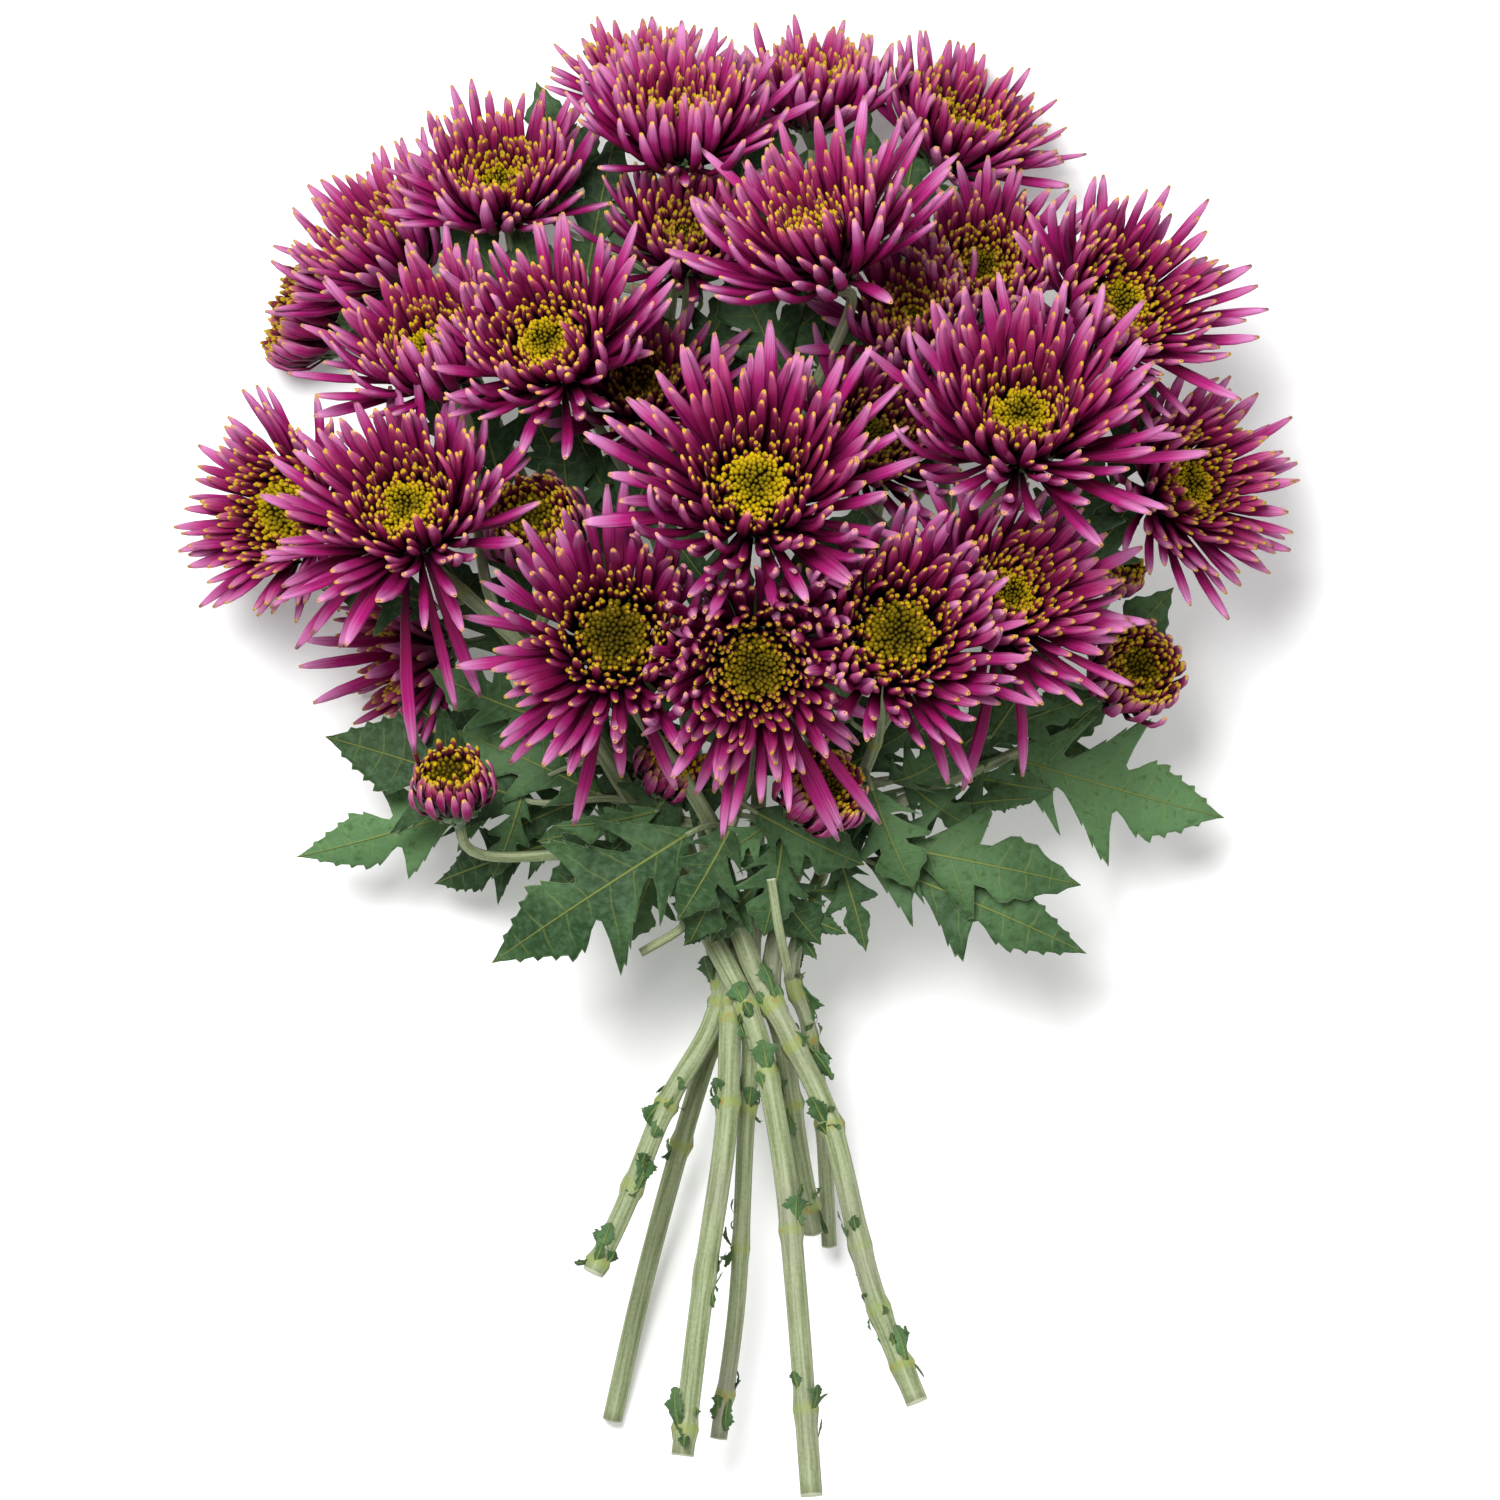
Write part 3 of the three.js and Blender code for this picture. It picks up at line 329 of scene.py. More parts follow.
def draw_out(bm, edges):
    """Extrudes a ring of edges, and gives the new ring and its edges."""
    grown = bmesh.ops.extrude_edge_only(bm, edges=edges)["geom"]
    ring = [g for g in grown if isinstance(g, bmesh.types.BMVert)]
    fresh = set(ring)
    return ring, [g for g in grown if isinstance(g, bmesh.types.BMEdge) and fresh.issuperset(g.verts)]


def grow_stalk(bm, route, sides=SIDE_STALK_SIDES):
    """A closed ridged tube through (place, radius, scar) steps: the scar is 1 in the middle of a node."""
    around, ridge, scar, run = layers_of(bm, STALK_LAYERS)
    side = Vector((1, 0, 0))
    length = 0.0
    for i, (place, radius, mark) in enumerate(route):
        ahead = (route[min(i + 1, len(route) - 1)][0] - route[max(i - 1, 0)][0]).normalized()
        side = (side - ahead * side.dot(ahead)).normalized()
        up = ahead.cross(side)
        if i == 0:
            ring = bmesh.ops.create_circle(bm, segments=sides, radius=1)["verts"]
            for number, v in enumerate(ring):
                v[around] = number
            start_edges = edges = [edge for v in ring for edge in v.link_edges if edge.verts[0] == v]
        else:
            length += (place - route[i - 1][0]).length
            ring, edges = draw_out(bm, edges)
        for v in ring:
            angle = v[around] * 2 * math.pi / sides
            v[ridge] = 1.0 if round(v[around]) % 2 else -1.0
            v[scar] = mark
            v[run] = length
            rough = SCAR_SWELL * mark * (1 + 0.6 * math.sin(5.3 * i + 2.7 * v[around]))
            swell = radius * (1 + RIDGE * v[ridge] + rough)
            v.co = place + side * math.cos(angle) * swell + up * math.sin(angle) * swell
            v.co.z = max(v.co.z, 0)
    bmesh.ops.edgeloop_fill(bm, edges=start_edges)
    bmesh.ops.edgeloop_fill(bm, edges=edges)


def route_of(places, radii, marks):
    """A stalk's steps. A scar is 1 on a mark and fades a few millimetres off."""
    scars = [max(math.exp(-(((p - m).length / SCAR_LENGTH) ** 2)) for m in marks) for p in places]
    return list(zip(places, radii, scars))


def stem_route(stem, marks):
    steps = STEPS * (len(stem.points) - 1)
    places = [along_curve(stem.points, i / steps) for i in range(steps + 1)]
    radii = []
    for i in range(steps + 1):
        above = max(0, (i / steps - stem.at_band) / (1 - stem.at_band))
        radii.append(stem.radius + (PEDICEL_RADIUS - stem.radius) * above**0.8)
    return route_of(places, radii, marks)


def side_stalk_route(bloom):
    """The side stalk of a bloom, from its stem to its cup."""
    here, heading = place_on_stem(STEMS[bloom.stem], bloom.fork[0])
    end, cup_foot = end_of_stalk(bloom)
    span = (end - here).length
    bow = Vector(bloom.bow)
    leave = here + heading * 0.36 * span + bow
    arrive = end - bloom.face * 0.3 * span + bow
    places = bezier(here, leave, arrive, end, FORK_STEPS) + [cup_foot]
    thinner = PEDICEL_RADIUS - bloom.thick
    radii = [bloom.thick + thinner * i / (len(places) - 1) for i in range(len(places))]
    return route_of(places, radii, places[:1])


stem_green, root = new_material("stem_green")
ridge, run, scar, around = root.attributes("ridge", "run", "scar", "around")
streaks = root.noise(1.0, 4.0, around * 2.1, run * 0.045, ridge * 0.4)
flush = root.noise(16.0, 2.0)
grain = root.noise(900.0, 2.0)
specks = root.noise(420.0, 2.0)
stem_colour = root.paint(
    (0.13, 0.17, 0.066),
    ((ridge * 0.12 + streaks * 1.2 + grain * 0.4).between(0.4, 1.15), (0.325, 0.37, 0.215)),
    (flush.between(0.5, 0.72) * 0.45, (0.24, 0.2, 0.2)),
    (scar.between(0.3, 0.9) * 0.7, (0.23, 0.29, 0.07)),
    (scar.between(0.4, 0.9) * specks.between(0.56, 0.66) * 0.6, (0.33, 0.17, 0.02)),
    (1 - run.between(0.1, 0.8), (0.55, 0.60, 0.42)),
)
root.finish(stem_colour, 0.6, ridge * 0.2 + streaks + grain * 0.3, 0.0004, specular_ior_level=0.3)

for number, stem in STEMS.items():
    marks = [bare_place(stem, share)[0] for share, _, _ in TORN[number]]
    marks += [place_on_stem(stem, share)[0] for share in LEAF_NODES]
    marks += [bare_place(stem, TOP_BARE_NODE)[0]]
    bm = new_mesh(STALK_LAYERS)
    grow_stalk(bm, stem_route(stem, marks), STALK_SIDES)
    for bloom in BLOOMS.values():
        if bloom.stem == number and bloom.fork:
            grow_stalk(bm, side_stalk_route(bloom))
    place_piece(bm, f"stem_{number}_stalks", stem_green, "stem", f"stem_{number}")

# The band
# One narrow green rubber band is drawn tight round the stems where they cross, and leaves hide most of it. It
# stretches from stem to stem in straight runs with rounded edges.
band_green, root = new_material("band_green")
grain = root.noise(900.0, 3.0)
root.finish(root.mix(grain, (0.05, 0.10, 0.03), (0.09, 0.16, 0.05)), 0.6, grain, 0.0001)

bm = bmesh.new()
bm.from_mesh(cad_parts["tie"].data)
bmesh.ops.remove_doubles(bm, verts=bm.verts, dist=1e-5)
bmesh.ops.recalc_face_normals(bm, faces=bm.faces)
rims = [edge for edge in bm.edges if edge.calc_face_angle(0) > 1.2]
bmesh.ops.bevel(bm, geom=rims, offset=0.0005, affect="EDGES", segments=3, profile=0.5, material=-1)
bmesh.ops.scale(bm, verts=bm.verts, vec=(1000, 1000, 1000))
bmesh.ops.translate(bm, verts=bm.verts, vec=-BUNCH_SHIFT)
place_piece(bm, "tie_band", band_green, "tie", "tie")

# Leaves
# Chrysanthemum leaves are cut into two or three pairs of forward-swept lobes with sharp teeth. The blade is
# leathery and dark green above, with a pale midrib and rim, and grey-green beneath. Each grows from its stem
# on a grooved stalk, and small ones crowd where the stems cross.
# A leaf's row ends with its base, tip, half width, roll, arch, how grey it is (with painted light; painted
# shade below 0) and its fold.
LEAF_FIELDS = ("base", "tip", "half", "roll", "arch", "grey", "cup")
# Large leaves: the stem and how far up it the stalk starts come first.
LEAVES = [
    (7, 0.3, (-14, -20, 92), (-80, -63, 88), 25, 4, 8, 0),
    (1, 0.26, (-76, -10, 44), (-144, -30, 36), 17, -8, 5, 0.9),
    (5, 0.24, (-66, -12, 60), (-134, 10, 56), 24, 6, 6, -0.8),
    (1, 0.2, (-58, -24, 40), (-100, -38, 26), 13, 10, 4, -0.4),
    (8, 0.22, (40, -30, 74), (112, -60, 70), 20, -6, 8, 0.15),
    (6, 0.26, (84, 4, 50), (157, -17, 42), 23, 4, 6, 1.0),
    (8, 0.3, (62, -14, 62), (94, -10, 62), 9, -12, 3), (3, 0.06, (-4, -38, 72), (-18, -58, 72), 11, -15, 3),
    (4, 0.05, (14, -44, 64), (34, -54, 70), 8, 12, 3),
]
# Smaller leaves, whose stalks start from the nearest stem. The ones darkened with painted shade stand behind
# and close the gaps between the blooms.
SMALL_LEAVES = [
    ((40, -24, 80), (110, -38, 77), 21, -4, 6, 0.3), ((42, -6, 90), (56, -40, 86), 15, 8, 5, 0.6),
    ((31, -27, 74), (41, -60, 68), 9, -10, 3), ((52, -4, 72), (78, -22, 70), 11, 12, 4),
    ((-6, -27, 84), (31, -30, 82), 10, 20, 3), ((12, -16, 90), (-9, -30, 88), 8, -20, 2, 1.0, 0.5),
    ((8, -36, 68), (-10, -57, 64), 10, 24, 3), ((20, -40, 66), (44, -42, 64), 7, -14, 3),
    ((-44, -10, 60), (-92, 12, 60), 17, 10, 5), ((-70, -8, 62), (-80, -37, 54), 9, -12, 3),
    ((-36, -20, 60), (-66, -24, 56), 9, 14, 3), ((-26, -14, 82), (-60, -20, 86), 8, -30, 2, 0.6, 0.6),
    ((-50, 4, 52), (-96, 26, 46), 15, -8, 5), ((-38, 2, 66), (-62, 26, 68), 10, 14, 4),
    ((-18, -8, 70), (-40, 12, 72), 9, -18, 3), ((20, -8, 76), (2, 12, 78), 9, 10, 3),
    ((70, -2, 58), (102, -8, 54), 10, 10, 3), ((74, 8, 52), (118, 24, 46), 13, -10, 4),
    ((30, -2, 70), (58, 14, 66), 10, 12, 3), ((-90, 0, 40), (-118, 12, 36), 9, 10, 3),
    ((-10, -48, 66), (-22, -44, 70), 6, 30, 1, 0.5), ((-30, -8, 56), (-72, 22, 52), 20, 8, 4, -0.6),
    ((-44, -20, 54), (-24, 24, 54), 18, -8, 4, -0.6), ((-6, -6, 60), (12, 32, 60), 18, 6, 3, -0.6),
    ((22, -10, 60), (52, 24, 58), 20, -6, 4, -0.6), ((58, -6, 54), (92, 26, 50), 20, 6, 4, -0.6),
    ((-80, -4, 44), (-112, 28, 40), 18, -6, 4, -0.6), ((-24, -26, 66), (-38, -58, 60), 13, 8, 3),
    ((-4, -28, 82), (-16, -57, 79), 15, -10, 3, -0.5), ((4, -28, 76), (26, -58, 70), 14, 12, 3, 0.1),
    ((-2, -18, 94), (-20, -50, 90), 15, -8, 3, -0.25), ((18, 116, 66), (-4, 164, 72), 20, 6, 4, -0.3),
    ((-2, 124, 60), (30, 150, 66), 15, -8, 4, 0.1), ((-58, 130, 58), (-72, 176, 62), 17, 8, 4, -0.2),
    ((-52, 66, 58), (-58, 108, 60), 17, -6, 4, -0.3), ((-76, 86, 54), (-88, 128, 58), 16, 6, 4, -0.3),
    ((-12, 28, 78), (2, 72, 82), 16, -6, 3, 0.1), ((98, 60, 68), (116, 104, 72), 18, 6, 4, -0.3),
    ((112, 24, 46), (140, 58, 48), 15, -6, 4, 0.2), ((30, 104, 64), (44, 152, 66), 18, -6, 4, -0.3),
    ((4, 104, 62), (-26, 146, 62), 18, 6, 4, -0.3), ((-66, 142, 52), (-94, 180, 52), 16, -6, 4, -0.3),
    ((10, 28, 82), (22, 72, 86), 15, 6, 3, -0.2), ((-52, 84, 50), (-70, 122, 50), 18, -6, 4, -0.3),
    ((-12, 150, 54), (-44, 184, 50), 16, 6, 4, -0.3), ((72, 40, 62), (100, 84, 62), 18, 6, 4, -0.3),
    ((-40, 70, 62), (-22, 112, 66), 16, 6, 4, -0.3), ((70, 92, 66), (44, 128, 70), 16, 6, 4, -0.3),
    ((4, -14, 96), (40, -32, 92), 15, 10, 3, 0.15), ((4, -6, 76), (-24, -10, 74), 12, 20, 2, -0.5),
    ((14, -22, 90), (8, -55, 86), 13, -14, 2, 0.2), ((-12, 0, 78), (-42, -28, 74), 17, 6, 3, -0.5),
    ((24, -6, 84), (60, -30, 80), 15, -8, 3, -0.3), ((-30, -20, 70), (-64, -44, 66), 14, 8, 3, -0.5),
    ((90, -2, 44), (120, 24, 44), 14, 6, 3, -0.3), ((104, 54, 48), (130, 90, 48), 14, -6, 3, -0.2),
    ((-44, -8, 48), (-78, -22, 46), 13, 6, 3, -0.2), ((-16, 124, 56), (2, 160, 56), 14, -6, 3, -0.4),
    ((-2, 46, 70), (-26, 80, 72), 13, 6, 3, -0.4), ((-72, 34, 56), (-98, 70, 54), 14, 6, 3, -0.4),
    ((38, 122, 58), (16, 160, 60), 13, 6, 3, -0.4), ((30, 174, 44), (42, 214, 40), 12, -6, 3, -0.4),
    ((22, 176, 46), (6, 212, 42), 11, 6, 3, -0.4), ((80, 8, 54), (104, 42, 52), 12, -6, 3, -0.3),
    ((120, 90, 50), (134, 126, 50), 12, 6, 3, -0.3), ((-50, 156, 52), (-40, 206, 50), 14, -6, 3, -0.4),
    ((-56, 186, 44), (-66, 222, 40), 11, 6, 3, -0.4), ((-88, 96, 50), (-104, 128, 48), 12, 6, 3, -0.4),
    ((-40, 80, 56), (-56, 114, 56), 12, 6, 3, -0.4), ((50, 168, 40), (58, 208, 36), 12, 6, 3, -0.4),
    ((-64, 46, 54), (-82, 80, 52), 12, -6, 3, -0.4), ((-62, 176, 48), (-46, 212, 46), 11, 6, 3, -0.4),
    ((-4, 168, 50), (4, 208, 48), 11, -6, 3, -0.4), ((16, -52, 62), (25, -62, 66), 5, -40, 1),
]
# The outline of half a blade: [along, across] as shares of the length and half width, before its lobes are
# swept forward. Gaps lie where it comes close to the midrib.
LEAF_OUTLINE = [
    (0.0, 0.05), (0.02, 0.12), (0.045, 0.3), (0.06, 0.42), (0.07, 0.38), (0.1, 0.6), (0.11, 0.55),
    (0.14, 0.78), (0.155, 0.82), (0.168, 0.6), (0.18, 0.4), (0.2, 0.24), (0.225, 0.2), (0.25, 0.24),
    (0.275, 0.4), (0.3, 0.6), (0.31, 0.55), (0.335, 0.84), (0.345, 0.78), (0.37, 0.96), (0.385, 0.92),
    (0.415, 1.0), (0.43, 0.84), (0.45, 0.56), (0.475, 0.32), (0.5, 0.27), (0.53, 0.34), (0.56, 0.46),
    (0.59, 0.55), (0.6, 0.49), (0.64, 0.56), (0.665, 0.58), (0.675, 0.48), (0.71, 0.44), (0.74, 0.46),
    (0.75, 0.38), (0.79, 0.33), (0.82, 0.34), (0.83, 0.26), (0.87, 0.21), (0.895, 0.21), (0.905, 0.14),
    (0.94, 0.09), (0.97, 0.04), (1.0, 0.005),
]
LEAF_SWEEP = 0.85  # how far forward a lobe leans for each millimetre that it stands out
LEAF_FOLD = -0.16  # of the half width: how far the edges hang
CUT_STALKS = [
    (3, [(-12, -46, 72), (-20, -53, 76), (-32, -60, 77)], 1.5),
    (5, [(10, -36, 94), (12.5, -52, 92), (16, -68, 80)], 1.6),
]  # side stalks cut short: their stem, places and radius
UPPER_LEAVES = {
    1: (1, [(0.22, 44), (0.3, 42), (0.42, 46), (0.5, 44), (0.6, 40), (0.7, 44), (0.8, 40)]),
    2: (-1, [(0.24, 46), (0.34, 50), (0.44, 44), (0.54, 50), (0.64, 44), (0.74, 40), (0.84, 36)]),
    3: (1, [(0.24, 44), (0.34, 50), (0.44, 48), (0.54, 50), (0.64, 44), (0.74, 44), (0.84, 36)]),
    4: (-1, [(0.24, 46), (0.34, 48), (0.44, 44), (0.54, 46), (0.64, 44), (0.74, 38)]),
    5: (1, [(0.26, 42), (0.4, 44), (0.52, 42), (0.64, 40), (0.76, 34)]),
    6: (1, [(0.24, 44), (0.34, 46), (0.44, 44), (0.54, 44), (0.66, 40), (0.78, 34)]),
    7: (-1, [(0.5, 30), (0.6, 30), (0.72, 26)]),
    8: (1, [(0.36, 36), (0.48, 34), (0.6, 28)]),
}  # leaves on alternate sides higher up each stem: the first one's side, how far up each is, and its length

leaf_green, root = new_material("leaf_green")
across, along, under, rim, grey = root.attributes("across", "along", "under", "rim", "grey")
cells = root.noise(420.0, 4.0)
patches = root.noise(44.0, 3.0)
bent = along * 9 + patches * 0.8
vein_wave = root.node("ShaderNodeMath", {"operation": "PINGPONG"}, {0: bent, 1: 0.5})
midrib = 1 - (abs(across) + along * 0.35).between(0.3, 0.72)
side_vein = (1 - vein_wave.between(0.0, 0.075)) * (1 - rim.between(0.4, 0.95))
veins = root.maths("MAXIMUM", midrib, side_vein * 0.4)
leaf_colour = root.paint(
    (0.015, 0.044, 0.012),
    (patches.between(0.34, 0.66), (0.05, 0.108, 0.037)),
    # Painted shade and light: below 0 a leaf is darkened as if set back in shade; above 0 it turns paler
    # grey-green, which also paints light onto leaves lying in shade.
    ((0 - grey) * 0.7, (0.01, 0.026, 0.007)),
    (grey * 0.85, root.mix(patches, (0.06, 0.135, 0.045), (0.15, 0.29, 0.115))),
    (cells.between(0.42, 0.7) * 0.35, (0.08, 0.15, 0.075)),
    ((1 - cells.between(0.3, 0.45)) * 0.45, (0.016, 0.038, 0.008)),
    (veins * 0.65, (0.2, 0.24, 0.055)),
    (rim.between(0.95, 1.0) * 0.5, (0.26, 0.32, 0.18)),
    (under, (0.17, 0.23, 0.13)),
)
relief = cells + patches - midrib * 0.5 - side_vein * 0.15
root.finish(leaf_colour, 0.6, relief, 0.0009, specular_ior_level=0.2)


def leaf_place(leaf, u, v):
    """A place on a leaf's arched blade: u along the midrib, v across it, both as shares."""
    base = Vector(leaf["base"])
    heading = Vector(leaf["tip"]) - base
    length = heading.length
    heading.normalize()
    level = Vector((0, 0, 1)).cross(heading).normalized()
    across = Matrix.Rotation(math.radians(leaf["roll"]), 3, heading) @ level
    face = heading.cross(across)
    arch = leaf["arch"] * 4 * u * (1 - u) - leaf.get("droop", 0.05 * length) * u**3
    fold = leaf.get("cup", LEAF_FOLD) * leaf["half"] * abs(v) ** 1.5
    return base + heading * u * length + across * v * leaf["half"] + face * (arch + fold)


LEAF_LAYERS = ("along", "across", "rim", "under", "grey")
LARGE_HALF = 14
LARGE_BLADE = (10, 0.14)  # columns across it, and how much its lobes differ in width
SMALL_BLADE = (6, 0.35)
BLADE_THICKNESS = 0.5


def grow_blade(bm, leaf, number, columns, outline, ragged):
    """A lobed blade as one thin closed sheet. The number picks how its two sides differ."""
    layers = layers_of(bm, LEAF_LAYERS)
    rows = len(outline) - 1
    draw = random.Random(number)
    sides = [[draw.uniform(1 - ragged, 1 + ragged) for _ in range(7)] for _ in range(2)]
    phase = draw.uniform(0, 6)
    grey = leaf.get("grey", draw.uniform(0, 0.3))
    sheet = bmesh.ops.create_grid(bm, x_segments=columns, y_segments=rows, size=1)["verts"]
    length = (Vector(leaf["tip"]) - Vector(leaf["base"])).length
    for v in sheet:
        row = round((v.co.y + 1) / 2 * rows)
        u, edge = outline[row]
        part = sides[v.co.x > 0]
        spot = u * 5.99
        own = part[int(spot)] + (part[int(spot) + 1] - part[int(spot)]) * (spot - int(spot))
        out = v.co.x * edge * own
        ahead = LEAF_SWEEP * abs(out) * leaf["half"] / length * (1 - u)
        ruffle = math.sin(9 * u + phase + 3 * out) * abs(out) * 0.12 * leaf["half"]
        values = (u, out * leaf["half"], abs(v.co.x), 0.0, grey)
        for layer, value in zip(layers, values):
            v[layer] = value
        v.co = leaf_place(leaf, u + ahead, out) + Vector((0, 0, 1)) * ruffle
        v.co.z = max(v.co.z, 0.6)
    faces = list(dict.fromkeys(face for v in sheet for face in v.link_faces))
    top = set(sheet)
    made = bmesh.ops.solidify(bm, geom=faces, thickness=BLADE_THICKNESS)["geom"]
    for g in made:
        if isinstance(g, bmesh.types.BMVert) and g not in top:
            g[layers[3]] = 1.0


def leaf_stalk(leaf):
    """The route of a leaf's stalk from its stem into its blade."""
    here, heading = place_on_stem(STEMS[leaf["stem"]], leaf["start"])
    foot, inside = leaf_place(leaf, 0, 0), leaf_place(leaf, 0.05, 0)
    leave = here + heading * 0.3 * (foot - here).length
    places = bezier(here, leave, foot + (foot - inside) * 2, inside, STEPS)
    thick = 0.75 + 0.03 * leaf["half"]
    radii = [thick * (1 - 0.35 * i / STEPS) for i in range(STEPS + 1)]
    return route_of(places, radii, places[:1])


def nearest_stem(place):
    """The stem and share of its upper part that come nearest to a place."""
    best = None
    for number, stem in STEMS.items():
        for i in range(-8, 30):
            here = place_on_stem(stem, i / 40)[0]
            distance = (here - Vector(place)).length
            if best is None or distance < best[0]:
                best = (distance, number, i / 40)
    return best[1], best[2]


def inside_bloom(place):
    for bloom in BLOOMS.values():
        heart = bloom.at + bloom.face * 0.45 * bloom.reach
        if (place - heart).length < 0.72 * bloom.reach:
            return True
    return False


all_leaves = [dict(zip(LEAF_FIELDS, row), stem=stem, start=start) for stem, start, *row in LEAVES]
for row in SMALL_LEAVES:
    stem, start = nearest_stem(row[0])
    all_leaves.append(dict(zip(LEAF_FIELDS, row), stem=stem, start=max(start - 0.04, -0.2)))
for number, (first_hand, places) in UPPER_LEAVES.items():
    for k, (share, length) in enumerate(places):
        here, heading = place_on_stem(STEMS[number], share)
        out = heading.cross(Vector((0, 0, 1))).normalized() * first_hand * (-1) ** k
        out = (out + Vector((0, 0, 0.25 * math.sin(7 * k + number)))).normalized()
        base = here + (out * 0.8 + heading * 0.6) * 11
        tip = base + (out * 0.5 + heading * 0.85) * length
        tip.z = max(tip.z, 4)
        if not any(inside_bloom(base.lerp(tip, step)) for step in (0.2, 0.6, 1)):
            leaf = dict(base=base, tip=tip, half=0.34 * length, roll=30 * math.sin(5 * k + number), arch=4)
            all_leaves.append(dict(leaf, stem=number, start=share))

for number in STEMS:
    blades = new_mesh(LEAF_LAYERS)
    stalks = new_mesh(STALK_LAYERS)
    for k, leaf in enumerate(all_leaves):
        if leaf["stem"] == number:
            columns, ragged = LARGE_BLADE if leaf["half"] > LARGE_HALF else SMALL_BLADE
            outline = LEAF_OUTLINE if k < len(LEAVES) else LEAF_OUTLINE[::2]
            grow_blade(blades, leaf, k, columns, outline, ragged)
            grow_stalk(stalks, leaf_stalk(leaf))
    for owner, places, radius in CUT_STALKS:
        if owner == number:
            line = [Vector(p) for p in places]
            grow_stalk(stalks, [(along_curve(line, i / 8), radius, 0.0) for i in range(9)])
    place_piece(blades, f"stem_{number}_leaves", leaf_green, "stem", f"stem_{number}")
    place_piece(stalks, f"stem_{number}_leaf_stalks", stem_green, "stem", f"stem_{number}")

# Torn leaf stalks
# Where leaves were stripped off, ragged scraps of blade and stalk stay on the nodes. Some lean up the stem
# and some lie against it, and each is curled its own way.
SCRAP_OUTLINE = [
    (0.0, 0.35), (0.1, 0.4), (0.2, 0.5), (0.28, 0.8), (0.36, 0.7), (0.45, 0.95), (0.55, 0.8), (0.62, 1.0),
    (0.7, 0.75), (0.78, 0.8), (0.86, 0.5), (0.93, 0.55), (1.0, 0.15),
]
SCRAPS = 5  # at each torn stalk: the stalk's own, and smaller ones beside it
for number, stem in STEMS.items():
    bm = new_mesh(LEAF_LAYERS)
    draw = random.Random(50 + number)
    for share, turn, length in TORN[number]:
        for k in range(SCRAPS):
            up = share if k == 0 else share + draw.uniform(-0.035, 0.05)
            here, heading = bare_place(stem, max(0.01, up))
            angle = math.radians(turn + (0 if k == 0 else draw.uniform(-80, 80)))
            out = Vector((math.cos(angle), 0, math.sin(angle)))
            out = (out - heading * out.dot(heading)).normalized()
            long = length if k == 0 else draw.uniform(3, 8)
            way = heading if draw.random() < 0.7 else -heading
            lean = (out * draw.uniform(0.08, 0.4 if k % 2 == 0 else 0.8) + way).normalized()
            foot = here + out * stem.radius * 0.9
            scrap = dict(
                base=foot,
                tip=foot + lean * long,
                half=draw.uniform(1.2, 2.4) if k else draw.uniform(3, 4.5),
                roll=90 - math.degrees(angle) + draw.uniform(-25, 25),
                arch=draw.uniform(-1.2, 1.2),
                cup=draw.uniform(-0.6, 0.3),
                grey=draw.uniform(0, 0.7),
                droop=draw.uniform(-1, 1),
            )
            seed = number * 40 + k + int(share * 900)
            grow_blade(bm, scrap, seed, 4, SCRAP_OUTLINE, 0.5)
    place_piece(bm, f"stem_{number}_torn_leaves", leaf_green, "stem", f"stem_{number}")

# Green cups
# Under each bloom the stalk widens into a cup of small overlapping green scales with pale papery edges,
# which hold the florets' feet.
SCALE_ROWS = [(0.2, 10, 0.9), (0.5, 12, 1.0), (0.85, 14, 1.05)]  # how far up the cup, how many, how long
SCALE_LENGTH = 6.5
SCALE_WIDTH = 3.0
SCALE_THICKNESS = 0.3
CUP_PROFILES = {
    "open": [(0.12, -0.265), (0.16, -0.24), (0.19, -0.2), (0.2, -0.16), (0.18, -0.12), (0, -0.1)],
    "half": [(0.2, -0.6), (0.3, -0.55), (0.36, -0.48), (0.38, -0.4), (0.34, -0.3), (0, -0.28)],
    "bud": [(0.3, -0.95), (0.44, -0.92), (0.52, -0.82), (0.54, -0.7), (0.48, -0.55), (0, -0.5)],
}  # radius and height above the cup's foot, as shares of the reach

cup_green, root = new_material("cup_green")
rim, along = root.attributes("rim", "along")
grain = root.noise(420.0, 2.0)
cup_colour = root.paint(
    (0.035, 0.075, 0.022),
    (grain, (0.085, 0.15, 0.05)),
    (rim.between(0.6, 1.0) * 0.7, (0.28, 0.34, 0.19)),
    (along.between(0.75, 1.0) * 0.6, (0.24, 0.2, 0.11)),
)
root.finish(cup_colour, 0.6, grain, 0.0002)


def spin_head(bm, bloom, profile, segments=16):
    """Turns a profile of (radius, height) shares of the reach about the bloom's axis into a closed body."""
    earlier = set(bm.verts)
    line = [bm.verts.new(bloom.at + bloom.side * radius + bloom.face * height) for radius, height in profile]
    line += [bm.edges.new(pair) for pair in zip(line, line[1:])]
    bmesh.ops.spin(
        bm, geom=line, cent=bloom.at, axis=bloom.face, angle=2 * math.pi, steps=segments, use_merge=True
    )
    bmesh.ops.remove_doubles(bm, verts=[v for v in bm.verts if v not in earlier], dist=0.01)
    bmesh.ops.recalc_face_normals(bm, faces=[f for f in bm.faces if earlier.isdisjoint(f.verts)])


